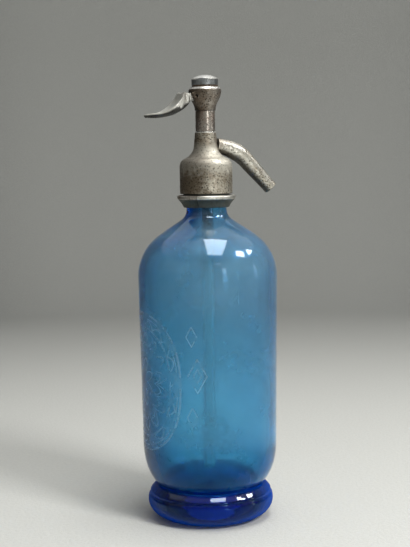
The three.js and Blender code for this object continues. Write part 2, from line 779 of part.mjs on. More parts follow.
// Bottle, dip tube and seals
const bottle = new THREE.Group();
siphon.add(bottle);
addPiece(bottle, 'glass_bottle', turned(bottleSection(), bottleFacets), glass('#2f86b4', 0.45));
addPiece(
  bottle, 'dip_tube', ring(dipTubeBore, dipTubeRadius, dipTubeLength, smallFacets),
  glass('#9fc4cf', 0.5), dipTubeFoot,
);
addPiece(
  bottle, 'tube_sleeve', ring(dipTubeRadius + seatGap, sleeveRadius, sleeveLength, smallFacets),
  seal('#2b2723'), holderFlangeHeight - hubLength,
);
addPiece(bottle, 'tube_holder', tubeHolder(), metal('#8a8175', 0.5), holderFlangeHeight);
addPiece(
  bottle, 'mouth_gasket', ring(neckBoreRadius + lipEase, lipRadius, mouthGasketThickness, headFacets),
  seal('#3a322b'), mouthGasketHeight,
);
addPiece(
  bottle, 'head_gasket',
  ring(gasketRadius - headGasketWidth, gasketRadius, headGasketThickness, headFacets),
  seal('#3f352c'), headGasketHeight,
);

// Split collar, one half turned half a turn from the other
const collar = new THREE.Group();
collar.position.z = collarFoot;
collar.rotation.z = seamAngle;
siphon.add(collar);
addPiece(collar, 'collar_half_right', collarHalf(), metal('#8b857a', 0.45));
addPiece(collar, 'collar_half_left', collarHalf(), metal('#857f74', 0.45)).rotation.z = Math.PI;

// Head: body, spout, neck tube, lever housing and what closes them
const head = new THREE.Group();
siphon.add(head);
addPiece(head, 'head_body', headBody(), metal('#857b6c', 0.5), bellRim);
addPiece(head, 'spout', spout(), metal('#8f887b', 0.45), bellRim);
addPiece(head, 'valve_seat', valveSeat(), metal('#a98d4e', 0.4), valveSeatHeight);
addPiece(head, 'neck_tube', neckTube(), metal('#7d6f65', 0.4), neckTubeFoot);
addPiece(
  head, 'stem_packing', ring(rodClearRadius, glandRadius, packingThickness, smallFacets),
  seal('#4b3f33'), packingHeight,
);
addPiece(head, 'gland_nut', glandNut(), metal('#a98d4e', 0.4), glandFoot);
addPiece(head, 'lever_housing', leverHousing(), metal('#7c7167', 0.45), housingFoot);
addPiece(
  head, 'cap_washer', ring(capBore, bulbTopRadius - capWasherInset, capWasherThickness, headFacets),
  seal('#2e2a27'), capWasherHeight,
);
addPiece(head, 'screw_cap', screwCap(), metal('#7b8084', 0.3), capFoot);
addPiece(
  head, 'spring_washer',
  ring(springWasherBore, capPocketRadius - seatGap, springWasherThickness, smallFacets),
  metal('#a3936b', 0.4), springWasherHeight,
);
addPiece(head, 'valve_spring', valveSpring(), metal('#9a8b66', 0.35), springFoot);
const pinMaterial = metal('#6f675e', 0.5);
const pin = crossRod(pinRadius, pinHalfLength, pinFacets);
addPiece(head, 'lever_pin', pin, pinMaterial, pivotHeight).position.x = -pivotOffset;

// Piston: the valve on its rod, and the head that the lever lifts
const piston = new THREE.Group();
siphon.add(piston);
addPiece(piston, 'valve_disc', rod(discRadius, discThickness, smallFacets), seal('#26221f'), discHeight);
addPiece(piston, 'valve_cup', valveCup(), metal('#a58a4c', 0.4), cupHeight);
addPiece(piston, 'piston_rod', pistonRod(), metal('#a88f55', 0.35), rodFoot);
addPiece(piston, 'piston_head', pistonHead(), metal('#9d8650', 0.4), pistonHeadFoot);

// Lever, in a group at its pivot
const leverArm = new THREE.Group();
leverArm.position.set(-pivotOffset, 0, pivotHeight);
siphon.add(leverArm);
addPiece(leverArm, 'lever', lever(), metal('#a29b8d', 0.35));

console.log(`Least gap between the spring's turns: ${springLeastGap().toFixed(2)} mm`);

export default siphon;
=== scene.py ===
import math

import bmesh
import bpy
from mathutils import Matrix, Vector, noise


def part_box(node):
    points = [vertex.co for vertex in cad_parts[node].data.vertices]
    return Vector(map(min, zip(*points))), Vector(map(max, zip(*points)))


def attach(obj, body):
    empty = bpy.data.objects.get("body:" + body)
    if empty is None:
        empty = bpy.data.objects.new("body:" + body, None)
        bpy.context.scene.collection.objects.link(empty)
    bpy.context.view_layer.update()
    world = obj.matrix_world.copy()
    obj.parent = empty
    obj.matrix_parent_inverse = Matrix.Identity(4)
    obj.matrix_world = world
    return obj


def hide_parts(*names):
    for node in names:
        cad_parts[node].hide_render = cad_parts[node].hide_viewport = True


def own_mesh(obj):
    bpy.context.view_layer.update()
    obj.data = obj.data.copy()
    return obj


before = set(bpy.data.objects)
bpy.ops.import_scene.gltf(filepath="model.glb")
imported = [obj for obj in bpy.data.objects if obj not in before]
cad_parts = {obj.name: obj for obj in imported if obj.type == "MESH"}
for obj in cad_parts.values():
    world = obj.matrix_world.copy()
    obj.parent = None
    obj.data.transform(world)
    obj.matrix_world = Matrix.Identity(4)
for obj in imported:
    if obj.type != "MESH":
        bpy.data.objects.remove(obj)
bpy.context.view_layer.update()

# Lengths are in millimetres until mesh_object() turns them into metres.
MM = 0.001
UP = Vector((0, 0, 1))

# Camera, fitted to the photograph
FOCAL_PX = 1217.0
IMAGE_HEIGHT_PX = 547
SENSOR_MM = 36.0
CAMERA_AZIMUTH = math.radians(18)
CAMERA_DISTANCE = 895.0
CAMERA_HEIGHT = 271.3
CAMERA_SHIFT_LEFT = 1.85
CAMERA_PITCH = math.radians(5.70)
CAMERA_ROLL = math.radians(0.85)

# Bottle. A rise or fall is the pair of heights where a share is 0 and where it is 1.
TINY = 1e-6
BODY_RADIUS = 51.3
SIDE_LOW_RADIUS = 49.7
CREASE_RADIUS = 39.0
CREASE_STEP = (0.25, 0.05)
FOOT_HEIGHT = 25.5
FOOT_BULGE = 7.7
FOOT_EQUATOR = 13.515
REST_OUTER = 28.5
REST_INNER = 23.5
REST_EDGE = 0.4
REST_PULL = 3.0
REST_ROUND = (0.8, 2.0)
PUNT_DEPTH = 14.0
PUNT_FLAT = 4.0
SIDE_START = 55.0
SIDE_FLARE_SHARES = (0.97, 0.37)
SHOULDER_START = 180.4
SHOULDER_ROUND = 37.0
SHOULDER_TURN = 56.0
NECK_BLEND = 9.5
NECK_RADIUS = 14.8
NECK_START = 229.744
LIP_START = 247.044
LIP_RADIUS = 16.2
LIP_ROUND = 1.0
LIP_ROUND_RISE = 1.2
MOUTH_HEIGHT = 253.044
GLASS_WALL = 4.5
NECK_BORE = 10.3
FLOOR_HEIGHT = 21.5
FLOOR_CORNER_WIDTH = 25.0
FLOOR_CORNER_LEAN = 5.0
PUSH_UP = 5.0
PUSH_UP_WIDTH = 10.0
BOTTLE_SEGMENTS = 160

# Unevenness of the blown glass. Each foot ridge is a height, a reach and a depth.
FOOT_RIDGES = ((18.9, 1.15, 0.80), (23.3, 2.0, 0.60))
RIDGE_CLEAR = 0.6
FOOT_RIPPLE = 0.07
RIPPLE_RISE = (3, 8)
RIPPLE_FALL = (27, 24)
WALL_WAVE = 0.45
WALL_RIPPLE = 0.18
WALL_CALM_TOP = 12.0
WALL_FADE = 30.0
SKIN_WAVE = 0.10
SKIN_RISE = (30, 60)
SKIN_FALL = (236, 222)
NECK_THICK = 2.6
NECK_THICK_SIDE = math.radians(170)
NECK_THICK_RISE = (196, 214)
NECK_THICK_FALL = (240, 233)

# Where the glass catches sharp highlights, by how far a face looks up
RING_LIT = (0.45, 0.62)
BODY_LIT = (0.05, 0.4)
BODY_LIT_SHARE = 0.8
LIT_BLEND = 20.0
GROUND_BLEND = 3.0

# Etched medallion. Borders are (size, thickness), petals are (count, base, swing, thickness), and lozenges
# are (gap from the medallion, height, half width, half height, thickness).
MEDALLION_HEIGHT = 106.0
MEDALLION_HALF_WIDTH = 43.0
MEDALLION_HALF_HEIGHT = 50.0
MEDALLION_POWER = 2.5
MEDALLION_BORDERS = ((1.0, 0.026), (0.94, 0.014), (0.80, 0.018))
MEDALLION_PETALS = (
    (22, 0.825, 0.085, 0.020), (16, 0.50, 0.22, 0.026), (16, 0.43, 0.15, 0.018), (8, 0.16, 0.20, 0.030),
)
MEDALLION_LOZENGES = ((13, 8, 7, 12, 0.11), (13, 8, 3, 5, 0.2), (9, -22, 4, 7, 0.16), (9, 36, 4, 7, 0.16))

# Dip tube and valve spring
TUBE_BORE = 2.8
TUBE_RADIUS = 4.7
TUBE_FOOT_EASE = 0.8
TUBE_TOP_EASE = 0.4
SPRING_COIL = 3.6
SPRING_WIRE = 0.45
SPRING_TURNS = 4.5

# Head
BELL_RIM = 241.044
BELL_RADIUS = 19.34
BELL_BORE = 17.24
BELL_DEPTH = 18.0
SHOULDER_FOOT = 19.5
SHOULDER_HEIGHT = 14.5
SHOULDER_SHARES = ((1, 0.35), (0.515, 0.46), (0.06, 0.68))
BODY_NECK_RADIUS = 8.75
BODY_NECK_TOP = 7.7
BODY_HEIGHT = 45.0
CHAMBER_RADIUS = 4.7
CHAMBER_BASE = 23.0
RISER_BORE = 3.7
SOCKET_RADIUS = 6.6
SPIGOT_RADIUS = 6.3
SPIGOT_LENGTH = 5.0
TOP_SPIGOT = 4.4
ROD_ROOM = 4.4
PACKING_BORE = 5.2
PACKING_FOOT = 1.8
NECK_TUBE_FOOT = 286.344
NECK_TUBE_RADIUS = 7.2
NECK_TUBE_HEIGHT = 14.7
HOUSING_FOOT = 301.344
HOUSING_HEIGHT = 21.0
BULB_FOOT_RADIUS = 7.65
BULB_RADIUS = 11.9
BULB_TOP_RADIUS = 10.05
BULB_FLARE_START = 1.2
BULB_FLARE_END = 13.7
BULB_FLARE_SHARES = (0.28, 0.64)
BULB_BAND_END = 15.0
BULB_TOP = 17.3
CAP_SPIGOT_RADIUS = 8.2
GUIDE_BORE = 4.8
PIVOT = Vector((-9.0, 0.0, 311.544))
PIN_RADIUS = 1.3
PIN_HOLE_RADIUS = 1.36
SLOT_REACH = 10.0
SLOT_HALF_WIDTH = 2.9
SLOT_HALF_HEIGHT = 3.6
CAP_FOOT = 319.744
CAP_RADIUS = 9.7
CAP_BORE = 8.5
CAP_BORE_TOP = 2.577
CAP_POCKET_RADIUS = 5.2
CAP_POCKET_TOP = 4.077
CAP_SIDE = 4.1
CAP_BEAD_RADIUS = CAP_RADIUS + 0.2
CAP_BEAD_TOP = 4.6
CAP_TOP = 7.4

# Collar
COLLAR_FOOT = 231.044
COLLAR_BORE = 15.1
COLLAR_FOOT_RADIUS = 17.0
FLANGE_RADIUS = 21.44
FLARE_HEIGHT = 6.4
FLARE_SHARES = (0.3, 0.58)
FLANGE_TOP = 9.0
SHANK_RADIUS = 16.94
COLLAR_HEIGHT = 15.7
SEAM_GAP = 0.3
SEAM_ANGLE = math.radians(-127)

# Spout. Its radius follows a table of (share of the length, share of the radius), and the first part of the
# length is hidden in the neck's wall. The end's rings are (distance back, step in from the lip or out from
# the bore).
SPOUT_ROOT_RISE = 17.2
SPOUT_ROOT_ANGLE = math.radians(9)
SPOUT_END_ANGLE = math.radians(47)
SPOUT_BEND_RADIUS = 33.0
SPOUT_BEND_START = 12.0
SPOUT_STRAIGHT = 28.6
SPOUT_RADIUS = 6.5
SPOUT_BORE = 3.0
SPOUT_SHARES = [(0, 0.87), (0.14, 0.89), (0.34, 1), (0.55, 0.92), (1, 0.79)]
SPOUT_HIDDEN = 3.9 / 57.9
SPOUT_LIP = ((0.25, 0), (0.07, 0.10), (0, 0.35))
SPOUT_MOUTH = ((0, 0.35), (0.15, 0.08))


# Outlines and meshes
def arc(cx, cz, rx, rz, start, end, steps):
    """Points of an ellipse's arc, with angles in degrees."""
    turns = [math.radians(start + (end - start) * i / steps) for i in range(steps + 1)]
    return [(cx + rx * math.cos(t), cz + rz * math.sin(t)) for t in turns]


def bezier(points, steps):
    """Points of a quadratic or cubic curve."""
    out = []
    for i in range(steps + 1):
        t = i / steps
        level = [Vector(p) for p in points]
        while len(level) > 1:
            level = [a.lerp(b, t) for a, b in zip(level, level[1:])]
        out.append(tuple(level[0]))
    return out


def straight(a, b, steps):
    return [tuple(Vector(a).lerp(Vector(b), i / steps)) for i in range(steps + 1)]


def eased(corners, steps=4):
    """A path through corners given as (radius, height, ease), each rounded by its ease."""
    out = []
    last = len(corners) - 1
    for i, (r, z, ease) in enumerate(corners):
        here = Vector((r, z))
        if not ease or i in (0, last):
            out.append((r, z))
            continue
        before = Vector(corners[i - 1][:2]) - here
        after = Vector(corners[i + 1][:2]) - here
        a = here + before.normalized() * min(ease, before.length / 2)
        b = here + after.normalized() * min(ease, after.length / 2)
        out += bezier([a, here, b], steps)
    return out


def tidy(points):
    """The points without repeats."""
    out = []
    for p in points:
        if not out or (Vector(p) - Vector(out[-1])).length > 1e-4:
            out.append(p)
    return out


def split_long(points, longest):
    """The points with every leg divided so that none is longer than longest."""
    out = [points[0]]
    for a, b in zip(points, points[1:]):
        steps = max(1, math.ceil((Vector(b) - Vector(a)).length / longest))
        out += straight(a, b, steps)[1:]
    return out


def linked(name, data):
    obj = bpy.data.objects.new(name, data)
    bpy.context.collection.objects.link(obj)
    return obj


def mesh_object(name, verts, faces, sharp_degrees=32):
    """A smooth shaded object from points in millimetres."""
    mesh = bpy.data.meshes.new(name)
    mesh.from_pydata([Vector(v) * MM for v in verts], [], faces)
    mesh.validate()
    obj = linked(name, mesh)
    face_out(obj)
    shade(obj, sharp_degrees)
    return obj


def face_out(obj):
    bm = bmesh.new()
    bm.from_mesh(obj.data)
    bmesh.ops.recalc_face_normals(bm, faces=bm.faces)
    bm.to_mesh(obj.data)
    bm.free()


def shade(obj, sharp_degrees):
    obj.data.shade_smooth()
    obj.data.set_sharp_from_angle(angle=math.radians(sharp_degrees))


def turned_mesh(outline, segments, start=0.0, sweep=2 * math.pi, closed=False, shift=None):
    """Verts and faces of an outline of (radius, height) turned about the Z axis.

    closed joins its last point to its first. A part turn gets flat ends. shift(radius, angle, height, i) may
    move a point."""
    whole = abs(sweep - 2 * math.pi) < TINY
    count = segments if whole else segments + 1
    verts, rings = [], []
    for i, (r, z) in enumerate(outline):
        if r < TINY:
            rings.append([len(verts)] * count)
            verts.append((0, 0, z))
            continue
        ring = []
        for s in range(count):
            a = start + sweep * s / segments
            rr, zz = shift(r, a, z, i) if shift else (r, z)
            ring.append(len(verts))
            verts.append((rr * math.cos(a), rr * math.sin(a), zz))
        rings.append(ring)
    faces = []
    pairs = list(zip(rings, rings[1:] + rings[:1])) if closed else list(zip(rings, rings[1:]))
    for low, high in pairs:
        for s in range(segments):
            n = (s + 1) % count
            face = []
            for v in (low[s], low[n], high[n], high[s]):
                if v not in face:
                    face.append(v)
            if len(face) > 2:
                faces.append(face)
    if not whole:
        faces.append([ring[0] for ring in rings])
        faces.append([ring[-1] for ring in rings][::-1])
    return verts, faces


def turned(name, outline, segments, foot=0.0, **options):
    points = [(r, z + foot) for r, z in tidy(outline)]
    sharp = options.pop("sharp", 32)
    verts, faces = turned_mesh(points, segments, **options)
    return mesh_object(name, verts, faces, sharp)


def cut(obj, *tools, sharp_degrees=32):
    """Takes the tools' shapes out of obj and deletes them."""
    for tool in tools:
        boolean = obj.modifiers.new("cut", "BOOLEAN")
        boolean.operation = "DIFFERENCE"
        boolean.solver = "EXACT"
        boolean.object = tool
        depsgraph = bpy.context.evaluated_depsgraph_get()
        mesh = bpy.data.meshes.new_from_object(obj.evaluated_get(depsgraph))
        obj.modifiers.clear()
        old = obj.data
        obj.data = mesh
        mesh.name = obj.name
        bpy.data.meshes.remove(old)
        bpy.data.objects.remove(tool)
    shade(obj, sharp_degrees)


def box_tool(low, high):
    corners = [(x, y, z) for x in (low[0], high[0]) for y in (low[1], high[1]) for z in (low[2], high[2])]
    faces = [(0, 1, 3, 2), (4, 6, 7, 5), (0, 4, 5, 1), (2, 3, 7, 6), (0, 2, 6, 4), (1, 5, 7, 3)]
    return mesh_object("tool", corners, faces)


def turned_across(name, outline):
    """An outline turned about the lever's pivot line, which runs along Y."""
    verts, faces = turned_mesh(outline, 48)
    return mesh_object(name, [(PIVOT.x + x, PIVOT.y + z, PIVOT.z + y) for x, y, z in verts], faces)


def smooth(low, high, value):
    t = min(1.0, max(0.0, (value - low) / (high - low)))
    return t * t * (3 - 2 * t)


def within(rise, fall, value):
    return smooth(*rise, value) * smooth(*fall, value)
def along(table, share):
    """A value of a table of (share, value), eased from one entry to the next."""
    for (a, va), (b, vb) in zip(table, table[1:]):
        if share <= b:
            return va + (vb - va) * smooth(a, b, share)
    return table[-1][1]


def curve_through(table, at):
    """A smooth curve's value at a place, through (place, value) points in rising order."""
    if at <= table[0][0]:
        return table[0][1]
    if at >= table[-1][0]:
        return table[-1][1]
    i = next(k for k in range(len(table) - 1) if at <= table[k + 1][0])
    (x0, y0), (x1, y1) = table[i], table[i + 1]
    before = table[max(0, i - 1)]
    after = table[min(len(table) - 1, i + 2)]
    slope0 = (y1 - before[1]) / (x1 - before[0])
    slope1 = (after[1] - y0) / (after[0] - x0)
    h = x1 - x0
    t = (at - x0) / h
    return (
        (2 * t**3 - 3 * t**2 + 1) * y0 + (t**3 - 2 * t**2 + t) * h * slope0
        + (3 * t**2 - 2 * t**3) * y1 + (t**3 - t**2) * h * slope1
    )


def mark(obj, name, values):
    """Stores one value per point under a name that materials can read."""
    attribute = obj.data.attributes.new(name, "FLOAT", "POINT")
    attribute.data.foreach_set("value", list(values))


def mark_underside(obj, start=0.0, full=0.45):
    """Marks the points that face down for painted shade, fully where the normal's fall reaches full."""
    mark(obj, "painted_shade", [smooth(start, full, -v.normal.z) for v in obj.data.vertices])


# Materials
class Shade:
    """A material's nodes, with short calls that make and link them."""

    def __init__(self, name):
        self.material = bpy.data.materials.new(name)
        self.material.use_nodes = True
        self.tree = self.material.node_tree
        self.shader = self.tree.nodes["Principled BSDF"]
        self.output = self.tree.nodes["Material Output"]
        coordinates = self.node("ShaderNodeTexCoord")
        self.place = self.vector("SCALE", coordinates.outputs["Object"], scale=1 / MM)
        split = self.node("ShaderNodeSeparateXYZ")
        self.put(split.inputs[0], self.place)
        self.x, self.y, self.z = split.outputs

    def node(self, kind, **settings):
        node = self.tree.nodes.new(kind)
        for key, value in settings.items():
            setattr(node, key, value)
        return node

    def put(self, socket, value):
        if isinstance(value, bpy.types.NodeSocket):
            self.tree.links.new(value, socket)
        else:
            socket.default_value = value

    def fill(self, node, **values):
        """Sets a node's sockets, named with underscores."""
        for key, value in values.items():
            self.put(node.inputs[key.replace("_", " ")], value)
        return node.outputs

    def set(self, **values):
        self.fill(self.shader, **values)

    def math(self, operation, a, b=0.0, clamp=False):
        node = self.node("ShaderNodeMath", operation=operation, use_clamp=clamp)
        self.put(node.inputs[0], a)
        self.put(node.inputs[1], b)
        return node.outputs[0]

    def chain(self, operation, values):
        total = values[0]
        for value in values[1:]:
            total = self.math(operation, total, value)
        return total

    def add(self, *values):
        return self.chain("ADD", values)

    def mul(self, *values):
        return self.chain("MULTIPLY", values)

    def sub(self, a, b):
        return self.math("SUBTRACT", a, b)

    def vector(self, operation, a, b=(0, 0, 0), scale=1.0):
        node = self.node("ShaderNodeVectorMath", operation=operation)
        self.put(node.inputs[0], a)
        self.put(node.inputs[1], b)
        node.inputs[3].default_value = scale
        return node.outputs["Value" if operation == "LENGTH" else "Vector"]

    def stretched(self, x, y, z):
        return self.vector("MULTIPLY", self.place, (x, y, z))

    def noise(self, scale, detail=3.0, roughness=0.55, at=None, distortion=0.0):
        return self.fill(
            self.node("ShaderNodeTexNoise"), Vector=at or self.place, Scale=scale, Detail=detail,
            Roughness=roughness, Distortion=distortion,
        )["Fac"]

    def noise_vector(self, scale):
        return self.fill(self.node("ShaderNodeTexNoise"), Vector=self.place, Scale=scale)["Color"]

    def cells(self, scale, at=None):
        node = self.node("ShaderNodeTexVoronoi")
        return self.fill(node, Vector=at or self.place, Scale=scale)["Distance"]

    def span(self, value, low, high, to_low=0.0, to_high=1.0):
        """value mapped smoothly from low..high to to_low..to_high."""
        node = self.node("ShaderNodeMapRange", interpolation_type="SMOOTHSTEP")
        return self.fill(
            node, Value=value, From_Min=low, From_Max=high, To_Min=to_low, To_Max=to_high,
        )["Result"]

    def rise(self, low, high, to_low=0.0, to_high=1.0):
        """The height mapped in the same way."""
        return self.span(self.z, low, high, to_low, to_high)

    def blend(self, share, a, b):
        """Colour a where share is 0, b where it is 1."""
        node = self.node("ShaderNodeMix", data_type="RGBA")
        self.put(node.inputs[0], share)
        self.put(node.inputs[6], (*a, 1.0) if isinstance(a, tuple) else a)
        self.put(node.inputs[7], (*b, 1.0) if isinstance(b, tuple) else b)
        return node.outputs[2]

    def bump(self, height, distance):
        return self.fill(self.node("ShaderNodeBump"), Height=height, Distance=distance * MM)["Normal"]

    def ring(self, place, reach):
        """1 at a height, fading to 0 at reach above and below it."""
        return self.span(self.math("ABSOLUTE", self.sub(self.z, place)), reach, reach * 0.4)

    def attribute(self, name):
        return self.node("ShaderNodeAttribute", attribute_name=name).outputs["Fac"]


PIT_DARK = (0.035, 0.028, 0.022)
# Painted highlight over the worn span
SHOULDER_HIGHLIGHT = (0.86, 0.84, 0.75)
# Painted shade on the side away from the light
SIDE_SHADE_TONE = (0.045, 0.033, 0.022)
# Painted highlight on edge rings
RING_HIGHLIGHT = (0.78, 0.77, 0.73)
# Painted shade in the steps between parts
SEAM_SHADE = (0.02, 0.017, 0.014)


def worn_metal(
    name, clean, dark, tarnish=0.45, gloss=0.30, dull=0.45, grain=1.0, pits=0.5, blotch=0.06, shine=0.35,
    rust=(0.20, 0.12, 0.07), rust_share=0.3, side_shading=0.0, under=None, highlight_rings=(), seams=(), worn=None,
):
    """Old tarnished metal: clean and dark tones in soft clouds, speckles, pits and grain.

    The side weight paints shade towards the lever's side, as more tarnish and a dark tone, and under is
    the colour of painted shade on the faces marked for it.
    The highlight rings and the seams hold (height, reach) pairs of rings with a painted highlight and of
    dark rings of painted shade at steps, and worn is the span of heights with a ragged painted highlight."""
    s = Shade(name)
    large = s.noise(blotch, 3.0, 0.6)
    middle = s.noise(blotch * 5, 4.0, 0.6)
    fine = s.noise(0.8, 4.0, 0.7)
    cover = s.add(s.mul(large, 0.35), s.mul(middle, 0.30), s.mul(fine, 0.35))
    # Painted shade: more tarnish towards the lever's side
    cover = s.add(cover, s.span(s.x, 4, -16, 0, 0.12 * side_shading))
    edge = 0.5 + 0.22 * (0.5 - tarnish)
    cover = s.span(cover, edge - 0.13, edge + 0.13)
    wander = s.vector("ADD", s.place, s.vector("SCALE", s.noise_vector(0.8), scale=1.2))
    spots = s.cells(0.62, at=wander)
    spot_here = s.span(s.noise(0.14, 2.0), 0.62 - 0.3 * pits, 0.72 - 0.3 * pits)
    pit = s.mul(s.span(spots, 0.41, 0.22), spot_here)
    rust_cloud = s.noise(0.1, 3.0, 0.6, at=s.vector("ADD", s.place, (37, 11, 5)))
    colour = s.blend(cover, clean, dark)
    colour = s.blend(s.mul(s.span(rust_cloud, 0.48, 0.7), rust_share), colour, rust)
    colour = s.blend(s.mul(pit, 0.8), colour, PIT_DARK)
    rough = s.add(s.span(cover, 0, 1, gloss, dull), s.span(fine, 0.3, 0.7, -0.06, 0.06))
    rough = s.math("ADD", rough, s.mul(pit, 0.2), clamp=True)
    # A painted highlight over the span of heights, ragged at its edges, also made rougher
    if worn:
        low, high = worn
        ragged = s.add(s.z, s.mul(s.sub(middle, 0.5), 26))
        highlight_share = s.mul(s.span(ragged, low - 4, low + 5), s.rise(high + 5, high - 2))
        highlight_share = s.mul(highlight_share, s.span(fine, 0.36, 0.56, 0.45, 1.0))
        colour = s.blend(s.mul(highlight_share, 0.55), colour, SHOULDER_HIGHLIGHT)
        rough = s.add(rough, s.mul(highlight_share, 0.16))
    # Painted shade: a dark tone towards the lever's side
    if side_shading:
        colour = s.blend(s.span(s.x, 5, -14, 0, 0.55 * side_shading), colour, SIDE_SHADE_TONE)
    # Rings with a painted highlight, also made smoother
    for place, reach in highlight_rings:
        ring = s.mul(s.ring(place, reach), s.span(fine, 0.36, 0.5, 0.45, 1.0))
        colour = s.blend(ring, colour, RING_HIGHLIGHT)
        rough = s.add(rough, s.mul(ring, shine - dull))
    # Dark rings of painted shade at the steps between parts
    for place, reach in seams:
        colour = s.blend(s.mul(s.ring(place, reach), 0.85), colour, SEAM_SHADE)
    # Painted shade on the faces marked for it
    if under:
        below = s.attribute("painted_shade")
        colour = s.blend(s.mul(below, 0.9), colour, under)
        rough = s.add(rough, s.mul(below, 0.2))
    height = s.add(s.mul(s.noise(1.5, 4.0, 0.7), 0.6 * grain), s.mul(middle, 0.9))
    height = s.sub(height, s.mul(pit, 0.7))
    s.set(
        Base_Color=colour, Metallic=s.span(cover, 0, 1, 1.0, 0.85), Roughness=rough,
        Normal=s.bump(height, 0.13),
    )
    return s.material


def brass(name, colour=(0.62, 0.46, 0.2)):
    s = Shade(name)
    shade_share = s.span(s.noise(0.3, 4.0, 0.6), 0.4, 0.65)
    turned_lines = s.noise(2.5, 2.0, 0.5, at=s.stretched(0.05, 0.05, 1))
    s.set(
        Base_Color=s.blend(shade_share, colour, (0.28, 0.19, 0.09)), Metallic=1.0,
        Roughness=s.span(turned_lines, 0.3, 0.7, 0.25, 0.45), Normal=s.bump(turned_lines, 0.03),
    )
    return s.material


def soft_seal(name, colour, worn):
    s = Shade(name)
    s.set(
        Base_Color=s.blend(s.span(s.noise(0.6, 4.0, 0.6), 0.35, 0.7), colour, worn),
        Roughness=s.span(s.noise(1.4, 3.0), 0.3, 0.7, 0.6, 0.9), Normal=s.bump(s.noise(2.2, 4.0, 0.7), 0.06),
    )
    return s.material


def ornament(s):
    """An etched medallion towards the lever's side: a double border with lozenges, petals and a star."""
    around = s.mul(s.math("ARCTAN2", s.y, s.mul(s.x, -1.0)), BODY_RADIUS)
    up = s.sub(s.z, MEDALLION_HEIGHT)
    wide = s.math("POWER", s.math("ABSOLUTE", s.mul(around, 1 / MEDALLION_HALF_WIDTH)), MEDALLION_POWER)
    tall = s.math("POWER", s.math("ABSOLUTE", s.mul(up, 1 / MEDALLION_HALF_HEIGHT)), MEDALLION_POWER)
    out = s.math("POWER", s.add(wide, tall), 1 / MEDALLION_POWER)
    turn = s.math("ARCTAN2", up, around)

    def line(distance, thickness):
        return s.span(s.math("ABSOLUTE", distance), thickness, thickness * 0.45)

    def waves(count, base, swing):
        wave_here = s.math("ABSOLUTE", s.math("SINE", s.mul(turn, count / 2)))
        return s.sub(out, s.add(s.mul(wave_here, swing), base))

    def lozenge(place, height, half_width, half_height):
        side = s.math("ABSOLUTE", s.sub(s.math("ABSOLUTE", around), place))
        rise = s.math("ABSOLUTE", s.sub(up, height))
        return s.sub(s.add(s.mul(side, 1 / half_width), s.mul(rise, 1 / half_height)), 1.0)

    parts = [line(s.sub(out, size), thickness) for size, thickness in MEDALLION_BORDERS]
    parts += [line(waves(*shape), thickness) for *shape, thickness in MEDALLION_PETALS]
    parts += [
        line(lozenge(MEDALLION_HALF_WIDTH + gap, *shape), thickness)
        for gap, *shape, thickness in MEDALLION_LOZENGES
    ]
    worn_away = s.span(s.noise(0.06, 3.0, 0.6), 0.34, 0.56, 0.45, 1.0)
    return s.mul(s.chain("MAXIMUM", parts), worn_away)


# Colours of the glass
CLEAN_OUTSIDE = (0.80, 0.95, 0.98)
CLEAN_INSIDE = (0.72, 0.88, 0.93)
# Painted shade tint for the lower body
LOW_BODY_SHADE = (0.03, 0.37, 0.48)
# Painted shade tint towards the lever's side
LEFT_GLASS_SHADE = (0.14, 0.22, 0.30)
# Painted shade tint on the neck's left side
NECK_LEFT_SHADE = (0.06, 0.24, 0.50)
LIME_PALE = (0.58, 0.84, 0.84)
SPECK_DARK = (0.04, 0.10, 0.07)
VEIL_BLUE = (0.36, 0.80, 0.99)
ETCHED_PALE = (0.72, 0.86, 0.93)
GROUND_PALE = (0.85, 0.92, 1.0)
FOOT_BLUE = (0.0, 0.05, 0.34)
GLASS_BODY = (0.0, 0.735, 0.974, 1.0)
GLASS_BODY_DENSITY = 232.0
GLASS_LEFT = (-0.951, 0.309)


